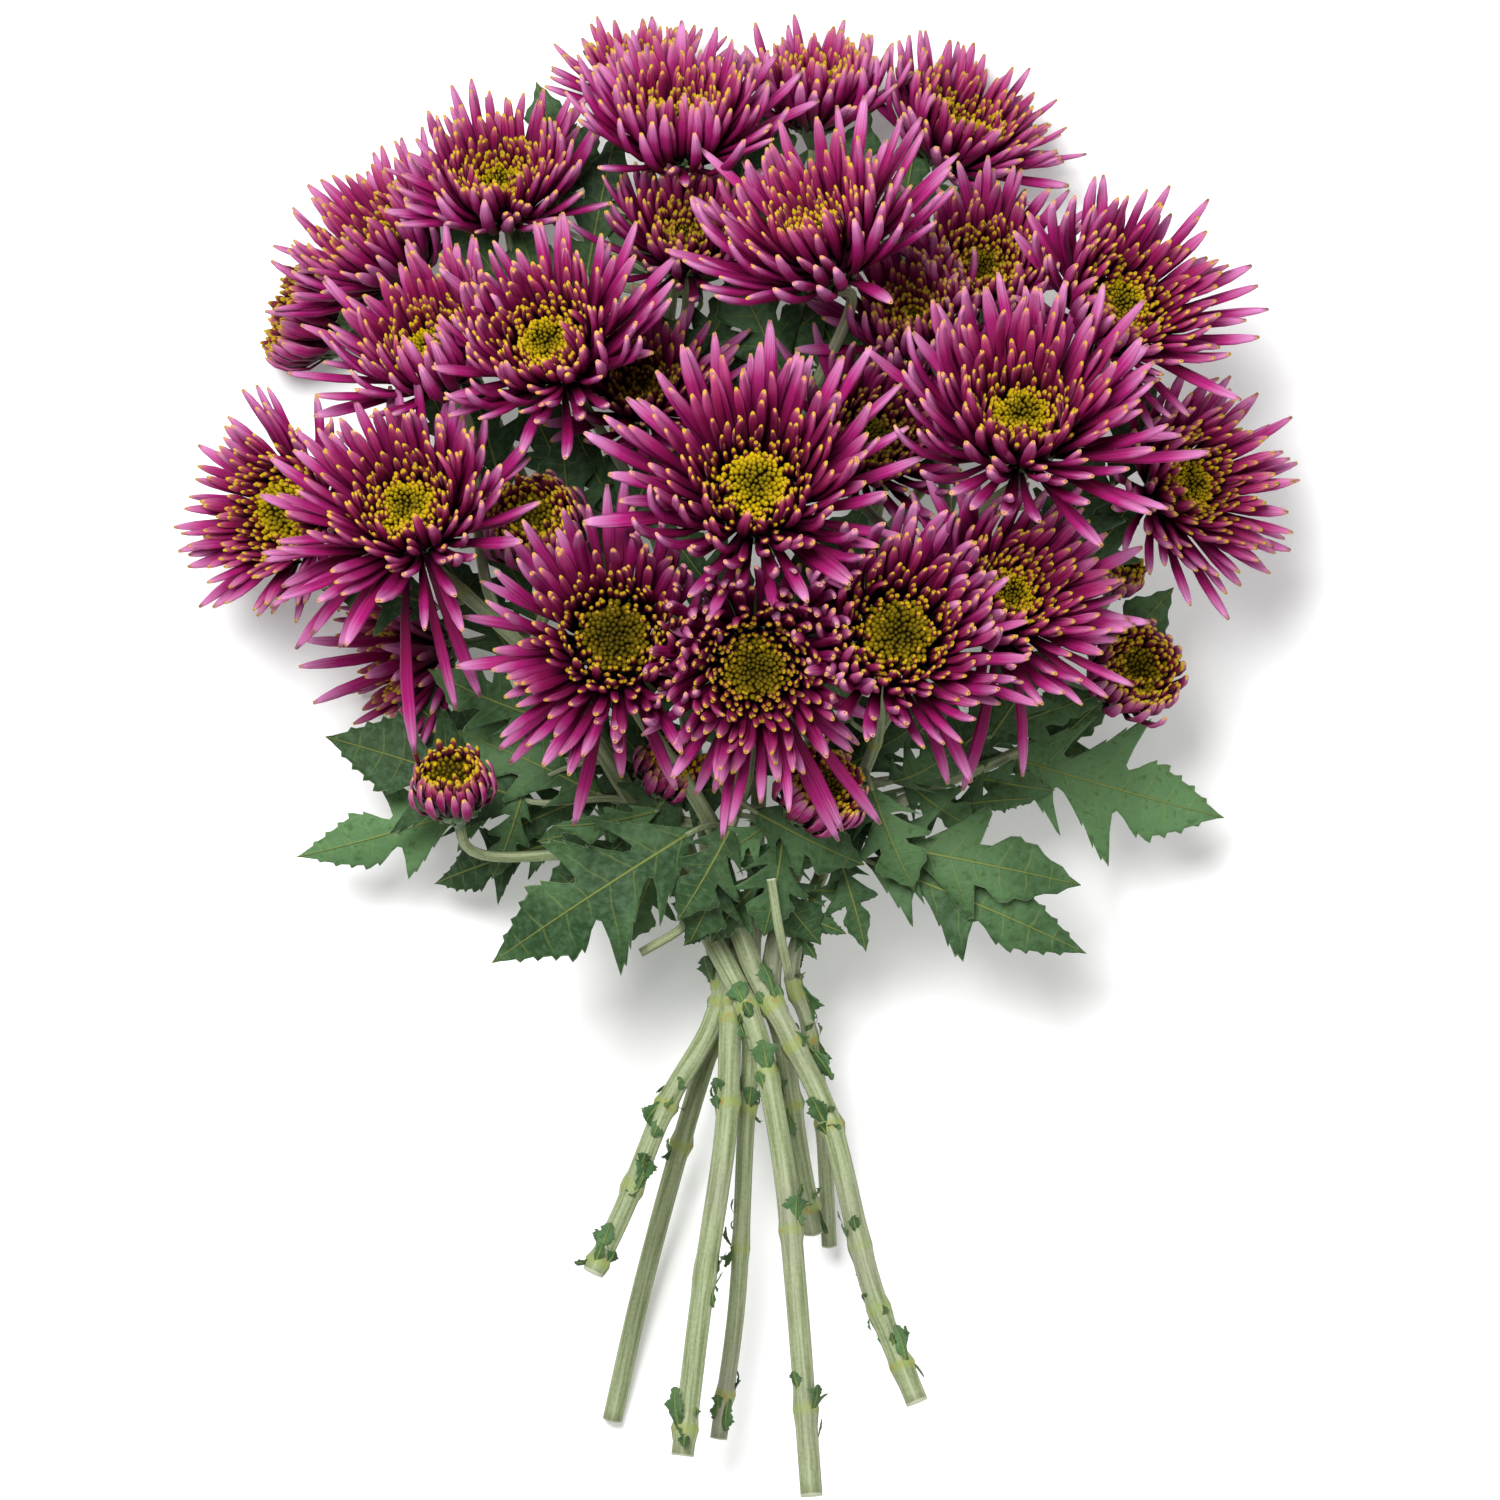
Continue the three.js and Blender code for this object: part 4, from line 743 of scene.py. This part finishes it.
for name, bloom in BLOOMS.items():
    reach, cup = bloom.reach, bloom.cup
    foot = -bloom.foot
    outside = [(r * reach, h * reach) for r, h in CUP_PROFILES[bloom.stage]]
    profile = [(0, foot - cup), (PEDICEL_RADIUS, foot - cup), (0.45 * outside[0][0] + 1.2, foot - 0.45 * cup)]
    bm = new_mesh(LEAF_LAYERS)
    spin_head(bm, bloom, profile + outside, 20)
    along_layer, rim_layer = layers_of(bm, ("along", "rim"))
    small = min(1, reach / 40)
    for up_share, count, size in SCALE_ROWS:
        rise = up_share * (len(outside) - 3)
        i = int(rise)
        (r0, h0), (r1, h1) = outside[i], outside[i + 1]
        radius = r0 + (r1 - r0) * (rise - i)
        height = h0 + (h1 - h0) * (rise - i)
        slope = Vector((r1 - r0, h1 - h0)).normalized()
        for k in range(count):
            spoke = spoke_of(bloom, (k + up_share) * 2 * math.pi / count)
            tangent = bloom.face.cross(spoke)
            up = spoke * slope.x + bloom.face * slope.y
            outward = spoke * slope.y - bloom.face * slope.x
            skin = bloom.at + spoke * radius + bloom.face * height
            length = SCALE_LENGTH * size * small
            scale = bmesh.ops.create_grid(bm, x_segments=2, y_segments=3, size=1)["verts"]
            for v in scale:
                u = (v.co.y + 1) / 2
                width = SCALE_WIDTH / 2 * small * math.sin(math.pi * (0.18 + 0.74 * u)) ** 0.6
                v[along_layer] = u
                v[rim_layer] = abs(v.co.x)
                lift = 0.55 - 0.5 * abs(v.co.x) + 0.3 * u
                v.co = skin + up * (u - 0.5) * length + tangent * v.co.x * width + outward * lift
            faces = list(dict.fromkeys(face for v in scale for face in v.link_faces))
            bmesh.ops.solidify(bm, geom=faces, thickness=SCALE_THICKNESS)
    place_piece(bm, f"bloom_{name}_cup", cup_green, "stem")

# Ray florets
# Each bloom's ray florets are quills: soft flattened tubes, widest past their middle, that taper to a small
# yellow mouth. They are set in spirals, stubby and maroon next to the disc and longest and flattest outside.
# Crowded ones turn up to make room for the blooms beside them, while some of the outermost stay low.
RAY_LAYERS = ("share", "gap", "across", "tint", "rank", "youth", "deep")
QUILL_SECTIONS = [
    (0.0, 0.38, 0.3), (0.3, 0.7, 0.46), (0.6, 1.0, 0.6), (0.8, 0.92, 0.6), (0.92, 0.6, 0.46),
    (0.99, 0.25, 0.25),
]  # how far along, half width and half thickness against the floret's own
SHORT_QUILL_SECTIONS = [(0.0, 0.5, 0.5), (0.5, 0.85, 0.8), (0.8, 1.0, 0.95), (0.98, 0.42, 0.42)]
# From the disc outward: how far out of the whole ring, radius and height of the foot as shares of the reach,
# rise and curl in degrees, length as a share of the reach, and width in mm.
RAYS = {
    "open": [
        (0.0, 0.235, -0.04, 80, 22, 0.22, 2.6),
        (0.2, 0.235, -0.06, 66, 20, 0.35, 2.9),
        (0.4, 0.23, -0.09, 50, 19, 0.49, 3.4),
        (0.6, 0.215, -0.14, 33, 17, 0.63, 3.8),
        (0.8, 0.2, -0.19, 16, 14, 0.76, 4.1),
        (1.0, 0.17, -0.24, -5, 8, 0.85, 4.2),
    ],
    "half": [
        (0.0, 0.39, -0.04, 90, 40, 0.26, 2.6),
        (0.35, 0.44, -0.16, 72, 50, 0.42, 3.2),
        (0.7, 0.42, -0.32, 46, 85, 0.62, 3.8),
        (1.0, 0.36, -0.46, 18, 98, 0.86, 4.2),
    ],
    "bud": [
        (0.0, 0.58, -0.04, 96, 40, 0.34, 2.3),
        (0.5, 0.64, -0.38, 60, 72, 0.68, 2.8),
        (1.0, 0.48, -0.84, 20, 100, 1.12, 3.4),
    ],
}
RAY_COUNT = {"open": 170, "half": 88, "bud": 62}
RECESSED_COUNT = 130  # on the open blooms that are one solid
YOUNG_COUNT = {"open": 112, "half": 50, "bud": 26}
YOUTH = {"open": 0.0, "half": 0.25, "bud": 0.3}  # how like the maroon inner florets all of them look
DISC_SHARE = {
    "06": 0.75, "07": 0.7, "09": 0.75, "10": 0.6, "13": 0.7, "14": 0.85, "18": 0.7, "02": 0.85, "16": 0.95,
    "20": 1.45, "22": 1.15, "24": 1.15, "23": 1.05, "25": 0.85, "32": 0.7, "30": 0.8,
}  # the width of a bloom's disc against the usual
# Florets that have strayed from a bloom's ring and hang below it: where each tip is.
STRAYS = {
    "22": [(-50, -18, 108), (-74, 3, 116), (-71, 0, 112), (-22, -7, 116), (-38, -2, 118)],
    "23": [(-15, -9, 128), (-9, -8, 126), (30, -25, 124), (35, -20, 126), (46, -18, 120)],
    "19": [(-105, 6, 92), (-90, 20, 100), (-84, 23, 104), (-151, 51, 110), (-147, 57, 113),
           (-136, 42, 106), (-140, 36, 102), (-126, 38, 104)],
    "25": [(72, -7, 100), (90, -2, 96)],
    "24": [(66, -4, 118)],
    "30": [(-146, 30, 62), (-142, 24, 56), (-126, 29, 72), (-145, 38, 68), (-117, 27, 74)],
}
STRAY_FOOT = (0.18, -0.2)  # radius and height of their feet, as shares of the reach
STRAY_WIDTH, STRAY_THICKNESS = 4.4, 2.1
CORES = {
    "open": [(0, -0.25), (0.16, -0.25), (0.2, -0.17), (0.2, -0.06), (0, -0.05)],
    "half": [(0, -0.5), (0.34, -0.48), (0.4, -0.3), (0.38, -0.06), (0, -0.05)],
    "bud": [(0, -0.86), (0.48, -0.84), (0.62, -0.4), (0.58, -0.06), (0, -0.05)],
}  # the body that the florets' feet are packed on, painted dark as shade: radius and height as shares of the reach
# Blooms whose middles lie in the shade of the others, and how dark the painted shade makes their florets.
PAINTED_SHADE_TONES = {
    "30": 0.3, "09": 0.5, "11": 0.35, "13": 0.6, "17": 0.95, "18": 0.85, "22": 0.3, "23": 0.3, "24": 0.1,
    "01": 0.15,
}
LIFT_LIMIT = {"open": 44, "half": 6, "bud": 0}
DIRECTIONS = 24  # round a bloom, in which its florets' lift is found
FUNNEL = 22  # degrees that outer florets rise further on a bloom that leans 45 degrees or more
OUTERMOST = 0.72  # from here outward some florets stay low
STAY_LOW = 0.35
INTERLEAVE = 10.0  # florets reach this far in among a neighbour's
LEAST_ROOM = 0.36  # the share of the way to its neighbour that the smaller bloom keeps
LIFT_STEP = 2
LIFT_FALL = 8  # degrees that the lift may change by from one direction to the next
LEAST_LENGTH = 5
CORE_GAP = 20  # how far from a yellow mouth the core's colour is taken
GOLDEN_ANGLE = 2.39996

ray_purple, root = new_material("ray_purple")
share, gap, across, tint, rank, youth, deep = root.attributes(*RAY_LAYERS)
streaks = root.noise(1.0, 3.0, across * 3.4, share * 1.1, tint * 40)
lines = root.noise(1.0, 2.0, across * 7.5, share * 0.5, tint * 90)
blotch = root.noise(60.0, 2.0)
spread = share + streaks * 0.2 - 0.1 + blotch * 0.12 - 0.06
# From a near-black foot to a paler end: the palest lilac near the ends is partly the florets' own colour and
# partly a painted highlight.
outer_colour = spread.ramp([
    (0.0, (0.025, 0.001, 0.008)), (0.25, (0.075, 0.002, 0.02)), (0.48, (0.2, 0.003, 0.054)),
    (0.72, (0.38, 0.014, 0.165)), (0.95, (0.6, 0.24, 0.49)),
])
inner_colour = spread.ramp([
    (0.0, (0.02, 0.001, 0.006)), (0.35, (0.065, 0.002, 0.019)), (0.65, (0.17, 0.003, 0.038)),
    (0.92, (0.38, 0.022, 0.12)),
])
young_colour = share.ramp([
    (0.0, (0.012, 0.001, 0.003)), (0.5, (0.055, 0.003, 0.009)), (0.85, (0.16, 0.01, 0.02)),
])
pale_edge = abs(across).between(0.7, 1.0) * youth.between(0.05, 0.3) * (1 - youth.between(0.6, 0.95))
mouth = gap + streaks * 1.6 + youth * 0.25 + rank * 0.35 - abs(across) * 0.7
tube_colour = root.paint(
    inner_colour,
    (rank.between(0.25, 1.0), outer_colour),
    (tint * 0.3, root.mix(share, (0.04, 0.001, 0.014), (0.27, 0.012, 0.13))),
    (youth, young_colour),
    # Pale lilac streaks toward the tips: the florets' own streaks with a painted sheen highlight.
    (lines.between(0.5, 0.75) * 0.28 * share**3, (0.68, 0.38, 0.6)),
    ((1 - lines.between(0.28, 0.45)) * 0.4, (0.1, 0.004, 0.05)),
    (pale_edge * 0.75, (0.42, 0.17, 0.28)),
    ((1 - mouth.between(1.8, 4.6)) * (0.4 - youth * 0.36), (0.5, 0.2, 0.09)),
    (1 - mouth.between(1.0, 2.4), root.mix(rank, (0.52, 0.36, 0.003), (0.66, 0.47, 0.03))),
    # Painted shade: the florets of blooms set back among the others are darkened.
    (deep * (0.35 + youth * 0.4), (0.014, 0.001, 0.004)),
)
root.finish(tube_colour, 0.5, streaks + lines * 0.7, 0.0004, specular_ior_level=0.1)


def quill_shape(name, sections, sides, channel):
    """A quill of unit size along Z, made by drawing a flattened ring out, with a hollow mouth at its tip."""
    bm = bmesh.new()
    ring = bmesh.ops.create_circle(bm, segments=sides, radius=1)["verts"]
    bmesh.ops.scale(bm, verts=ring, vec=(sections[0][1], sections[0][2], 1))
    foot = edges = list(bm.edges)
    for before, after in zip(sections, sections[1:]):
        ring, edges = draw_out(bm, edges)
        bmesh.ops.scale(bm, verts=ring, vec=(after[1] / before[1], after[2] / before[2], 1))
        bmesh.ops.translate(bm, verts=ring, vec=(0, 0, after[0] - before[0]))
    bmesh.ops.edgeloop_fill(bm, edges=foot)
    mouth = bmesh.ops.edgeloop_fill(bm, edges=edges)["faces"]
    for v in bm.verts:
        if abs(v.co.x) < 0.1 and v.co.y > 0:
            v.co.y *= channel
    bmesh.ops.inset_individual(bm, faces=mouth, thickness=0.07, depth=-0.02)
    bmesh.ops.recalc_face_normals(bm, faces=bm.faces)
    return finished_mesh(bm, name)


long_quill = quill_shape("long_quill", QUILL_SECTIONS, 8, 0.6)
short_quill = quill_shape("short_quill", SHORT_QUILL_SECTIONS, 5, 1.0)


def heart_of(bloom):
    return bloom.at + bloom.face * 0.2 * bloom.reach


def walls_round(bloom):
    """Flat walls between a bloom and those near it, each as the way out through it and a place on it."""
    here = heart_of(bloom)
    walls = []
    for other in BLOOMS.values():
        out = heart_of(other) - here
        distance = out.length
        if other is bloom or distance > bloom.reach + other.reach:
            continue
        out.normalize()
        share = (distance**2 + bloom.reach ** 2 - other.reach ** 2) / (2 * distance)
        share = min(max(share, LEAST_ROOM * distance), (1 - LEAST_ROOM) * distance)
        walls.append((out, here + out * share))
    return walls


def beyond(walls, place, slack):
    return any((place - point).dot(out) > slack for out, point in walls)


def quill_path(rise, curl, lift, length, reach, share):
    """How far out and up a floret has got, and its slope there."""
    start = math.radians(rise)
    full = curl + 2 * lift * (1 - rise / 90)
    turned = math.radians(full) * min(1, length / (0.7 * reach)) * share
    end = start + turned
    if abs(turned) < 0.01:
        return length * share * math.cos(start), length * share * math.sin(start), end
    step = length * share / turned
    return step * (math.sin(end) - math.sin(start)), step * (math.cos(start) - math.cos(end)), end


def places_along(bloom, root_place, spoke, path, parts):
    """Places at the given shares of a floret's path."""
    places = []
    for part in parts:
        out, up, _ = quill_path(*path, bloom.reach, part)
        places.append(root_place + spoke * out + bloom.face * up)
    return places


def lifts_round(bloom, walls):
    """How far florets turn up to clear the blooms beside them, in each direction."""
    foot, height = RAYS["open"][-1][1:3]
    bare = []
    for i in range(DIRECTIONS):
        spoke = spoke_of(bloom, i * 2 * math.pi / DIRECTIONS)
        root_place = bloom.at + spoke * foot * bloom.reach + bloom.face * height * bloom.reach
        lift = 0
        while lift < LIFT_LIMIT[bloom.stage]:
            places = places_along(bloom, root_place, spoke, (2, 8, lift, 0.66 * bloom.reach), (0.5, 0.8, 1))
            if not any(beyond(walls, p, 1) for p in places) and all(p.z > -4 for p in places):
                break
            lift += LIFT_STEP
        bare.append(lift)
    lifts = []
    for i in range(DIRECTIONS):
        steps = [min(abs(i - j), DIRECTIONS - abs(i - j)) for j in range(DIRECTIONS)]
        lifts.append(max(lift - LIFT_FALL * step for lift, step in zip(bare, steps)))
    return lifts


def along_table(table, t):
    """The table's row at t, blended between the rows on either side."""
    for low, high in zip(table, table[1:]):
        if t <= high[0]:
            w = (t - low[0]) / (high[0] - low[0])
            return [a + (b - a) * w for a, b in zip(low, high)][1:]
    return list(table[-1][1:])


def add_quill(bm, bloom, shape, root_place, spoke, bend, size, values):
    """Bends a copy of the unit quill to its path and sets the numbers that its colours read."""
    rise, curl, lift, length, sway = bend
    width, thickness, twist = size
    n = bloom.face
    layers = layers_of(bm, RAY_LAYERS)
    numbers = (*values, PAINTED_SHADE_TONES.get(bloom.name, 0.0))
    start = len(bm.verts)
    bm.from_mesh(shape)
    bm.verts.ensure_lookup_table()
    across = n.cross(spoke)
    frames = {}
    for v in bm.verts[start:]:
        x, y, share = v.co
        key = round(share, 3)
        if key not in frames:
            out, up, slope = quill_path(rise, curl, lift, length, bloom.reach, share)
            centre = root_place + spoke * out + n * up + across * sway * share * share
            raised = n * math.cos(slope) - spoke * math.sin(slope)
            turn = Matrix.Rotation(twist * share, 3, raised.cross(across))
            frames[key] = (centre, turn @ across, turn @ raised)
        centre, flat, raised = frames[key]
        v.co = centre + flat * (x * width / 2) + raised * (y * thickness)
        v.co.z = max(v.co.z, 0)
        for layer, value in zip(layers, (share, (1 - share) * length, x, *numbers)):
            v[layer] = value


for number, (name, bloom) in enumerate(BLOOMS.items()):
    stage, reach, n = bloom.stage, bloom.reach, bloom.face
    count = RECESSED_COUNT if name in ONE_SOLID else RAY_COUNT[stage]
    walls = walls_round(bloom)
    lifts = lifts_round(bloom, walls)
    draw = random.Random(number)
    bm = new_mesh(RAY_LAYERS)
    loose = 1.0 if stage == "open" else 0.4
    disc_share = DISC_SHARE.get(name, 1.0)
    for k in range(count):
        t = (k + 0.5) / count
        foot, height, rise, curl, length, width = along_table(RAYS[stage], t)
        azimuth = k * GOLDEN_ANGLE + number + draw.gauss(0, 0.06)
        spoke = spoke_of(bloom, azimuth)
        spot = (azimuth * DIRECTIONS / 2 / math.pi) % DIRECTIONS
        low = int(spot) % DIRECTIONS
        lift = lifts[low] + (lifts[(low + 1) % DIRECTIONS] - lifts[low]) * (spot - int(spot))
        lift = max(0, lift + draw.uniform(-4, 4) * loose)
        if t > OUTERMOST and draw.random() < STAY_LOW:
            lift = 0
        if stage == "open":
            rise += FUNNEL * min(1, bloom.lean / 45) * (1 - rise / 90)
        rise += draw.gauss(0, 6) * loose
        curl += draw.gauss(0, 10) * loose + (35 * loose if t < 0.4 and draw.random() < 0.15 else 0)
        length *= reach * (1 + draw.uniform(-0.26, 0.09) * loose)
        foot *= 1 + (disc_share - 1) * (1 - t)
        root_place = bloom.at + spoke * foot * reach + n * height * reach
        while length > LEAST_LENGTH:
            ends = places_along(bloom, root_place, spoke, (rise, curl, lift, length), (0.6, 0.85, 1))
            if not any(beyond(walls, p, INTERLEAVE) for p in ends):
                break
            length *= 0.93
        width *= draw.uniform(0.82, 1.12) * (0.5 + 0.01 * reach if stage == "open" else 1)
        width *= min(1, 0.55 + length / reach)
        bend = (rise, curl, lift, length, draw.gauss(0, 0.06) * length * loose)
        size = (width, width * (0.5 if stage == "open" else 0.36), draw.gauss(0, 0.35) * loose)
        youth = YOUTH[stage] + 0.55 * max(0, 0.22 - t) / 0.22
        add_quill(bm, bloom, long_quill, root_place, spoke, bend, size, (draw.random(), t, youth))
    foot, height = along_table(RAYS[stage], 0)[:2]
    for k in range(YOUNG_COUNT[stage]):
        t = (k + 0.5) / YOUNG_COUNT[stage]
        spoke = spoke_of(bloom, k * GOLDEN_ANGLE + number + draw.gauss(0, 0.08))
        ring = foot * (0.66 + 0.42 * t) * draw.uniform(0.88, 1.08) * disc_share * reach
        root_place = bloom.at + spoke * ring + n * (height - 0.02) * reach
        length = (7.6 + 5.2 * t) * draw.uniform(0.8, 1.15) * min(1, 0.4 + reach / 60)
        bend = (95 - 22 * t + draw.gauss(0, 8), 16, 0, length, 0)
        width = (1.9 + 0.5 * t) * draw.uniform(0.85, 1.1)
        size = (width, width * 0.48, 0)
        add_quill(bm, bloom, short_quill, root_place, spoke, bend, size, (draw.random(), 0, 1.0))
    foot, height = STRAY_FOOT
    for tip in STRAYS.get(name, []):
        way = (Vector(tip) - bloom.at - n * height * reach).normalized()
        spoke = (way - n * way.dot(n)).normalized()
        root_place = bloom.at + spoke * foot * reach + n * height * reach
        rise = math.degrees(math.asin(way.dot(n)))
        length = (Vector(tip) - root_place).length
        bend = (rise + 10, -20, 0, length, draw.gauss(0, 0.04) * length)
        size = (STRAY_WIDTH, STRAY_THICKNESS, draw.gauss(0, 0.4))
        add_quill(bm, bloom, long_quill, root_place, spoke, bend, size, (draw.random(), 0.8, 0.0))
    quills = set(bm.verts)
    spin_head(bm, bloom, [(r * reach, h * reach) for r, h in CORES[stage]])
    # The core takes the florets' darkest colour: painted shade between their feet.
    gap_layer = bm.verts.layers.float["gap"]
    for v in bm.verts:
        if v not in quills:
            v[gap_layer] = CORE_GAP
    node = f"bloom_{name}_rays" if bloom.own_disc else f"bloom_{name}"
    place_piece(bm, f"bloom_{name}_ray_florets", ray_purple, "ray_floret", node)

# Disc florets
# The middle of each bloom is a dense cushion of round yellow-green buds, set in spirals, larger and paler
# toward the rim and smaller, greener and a little sunken in the middle.
DISC_RADIUS = {"open": 0.18, "half": 0.38, "bud": 0.56}
DISC_BUDS = {"open": 160, "half": 130, "bud": 70}
DISC_PAINTED_SHADE = {
    "22": 0.2, "23": 0.28, "24": 0.38, "21": 0.45, "28": 0.3, "26": 0.6, "27": 0.5, "10": 0.4, "17": 0.12,
    "18": 0.2, "09": 0.4, "11": 0.5, "13": 0.35, "14": 0.9,
}  # discs darkened with painted shade where other blooms shade them: how light each is against the others
BUD_RADII = (0.82, 1.16)  # at the middle and at the rim, on a disc of 10 mm radius
BUD_HEIGHT = 1.7  # against its radius
RIM = 0.8  # from here outward some buds are left out
RIM_GAPS = 0.3  # the share of them

disc_yellow, root = new_material("disc_yellow")
height, rank, tint, tone = root.attributes("height", "rank", "tint", "tone")
grain = root.noise(700.0, 2.0)
disc_colour = root.mix(rank.between(0.2, 1.0), (0.15, 0.11, 0.001), (0.6, 0.41, 0.003))
disc_colour = root.mix(tint * 0.5, disc_colour, (0.26, 0.2, 0.002))
# Painted shade and highlight: each bud darkens toward its foot, where the buds shade one another, and the
# tops of the outer ones are lightened.
disc_colour = root.mix(height.between(0.45, 0.98), (0.018, 0.01, 0.0005), disc_colour)
disc_colour = root.mix(height.between(0.86, 1.0) * rank * 0.35, disc_colour, (0.6, 0.44, 0.012))
# Painted shade: the discs of blooms set back among the others are darkened.
disc_colour = root.mix(tone, (0.035, 0.024, 0.0005), disc_colour)
root.finish(disc_colour, 0.6, grain, 0.0002, specular_ior_level=0.08)

bm = bmesh.new()
bmesh.ops.create_icosphere(bm, subdivisions=1, radius=1)
bud_shape = finished_mesh(bm, "bud_shape")

for number, (name, bloom) in enumerate(BLOOMS.items()):
    stage, reach = bloom.stage, bloom.reach
    draw = random.Random(100 + number)
    bm = new_mesh(("height", "rank", "tint", "tone"))
    height_layer, rank_layer, tint_layer, disc_shade_layer = layers_of(bm, ("height", "rank", "tint", "tone"))
    count, brim = DISC_BUDS[stage], DISC_RADIUS[stage] * reach * DISC_SHARE.get(name, 1.0)
    for i in range(count):
        out = math.sqrt((i + 0.5) / count)
        if out > RIM and draw.random() < RIM_GAPS:
            continue
        azimuth = i * GOLDEN_ANGLE + draw.gauss(0, 0.03) / (out + 0.1)
        edge = brim * (1 + 0.06 * math.sin(3 * azimuth + number) + draw.uniform(-0.05, 0.05) * out)
        spoke = spoke_of(bloom, azimuth)
        radius = (BUD_RADII[0] + (BUD_RADII[1] - BUD_RADII[0]) * out) * brim / 10 * draw.uniform(0.76, 1.1)
        lean = (bloom.face + spoke * 0.45 * out).normalized()
        level = 0.05 * reach * math.sin(math.pi * 0.85 * out) + draw.uniform(-0.7, 0.6)
        middle = bloom.at + spoke * out * edge + bloom.face * level
        start = len(bm.verts)
        bm.from_mesh(bud_shape)
        bm.verts.ensure_lookup_table()
        turn = lean.to_track_quat("Z", "Y").to_matrix()
        shade = draw.random()
        for v in bm.verts[start:]:
            v[height_layer] = (v.co.z + 1) / 2
            v[rank_layer] = out
            v[tint_layer] = shade
            v[disc_shade_layer] = DISC_PAINTED_SHADE.get(name, 1.0)
            v.co = middle + turn @ Vector((v.co.x * radius, v.co.y * radius, v.co.z * radius * BUD_HEIGHT))
    # The cushion under the buds takes the darkest colour: painted shade that fills the gaps between them.
    cushion = [(0, -0.08 * reach), (brim, -0.08 * reach), (brim, -0.02 * reach), (0.8 * brim, 0.02 * reach)]
    cushion += [(0.4 * brim, 0.015 * reach), (0, -0.01 * reach)]
    spin_head(bm, bloom, cushion)
    node = f"bloom_{name}_disc" if bloom.own_disc else f"bloom_{name}"
    place_piece(bm, f"bloom_{name}_disc_florets", disc_yellow, "disc_floret", node)

# Floor, light and camera
# The bunch lies on a plain pale floor under one large soft light above its blooms and a weaker one from the
# right. The floor glows faintly, which keeps its shadow pale. The camera looks straight down.
LIT_PLACE = Vector((0, 0.05, 0.1))
bm = bmesh.new()
bmesh.ops.create_grid(bm, x_segments=1, y_segments=1, size=6)
floor = add_object("floor", finished_mesh(bm, "floor"))
floor_white, root = new_material("floor_white")
glow = dict(emission_color=(1, 1, 1, 1), emission_strength=0.15)
root.finish((0.9, 0.9, 0.9, 1), 0.8, 0.0, 0.0001, **glow)
floor.data.materials.append(floor_white)


def soft_light(name, place, size, power):
    lamp = bpy.data.lights.new(name, "AREA")
    lamp.shape = "DISK"
    lamp.size = size
    lamp.energy = power
    light = add_object(name, lamp)
    light.location = place
    light.rotation_euler = (LIT_PLACE - Vector(place)).to_track_quat("-Z", "Y").to_euler()


soft_light("key", (-0.45, 0.75, 2.1), 1.0, 70)
soft_light("fill", (1.2, -0.7, 1.7), 1.4, 12)

world = bpy.data.worlds.new("studio")
scene.world = world
world.use_nodes = True
background = world.node_tree.nodes["Background"].inputs
background["Color"].default_value = (1, 1, 1, 1)
background["Strength"].default_value = 0.29
scene.view_settings.view_transform = "Standard"

VIEW_WIDTH = 0.484  # that the photograph spans, at the middle height of the bunch
VIEW_CENTRE = (0.0021, 0.0032, 0.06)
camera_data = bpy.data.cameras.new("camera")
camera_data.sensor_width = 36
camera_data.lens = 500
camera_data.clip_end = 100
camera = add_object("camera", camera_data)
distance = VIEW_WIDTH * camera_data.lens / camera_data.sensor_width
camera.location = Vector(VIEW_CENTRE) + Vector((0, 0, distance))
scene.camera = camera
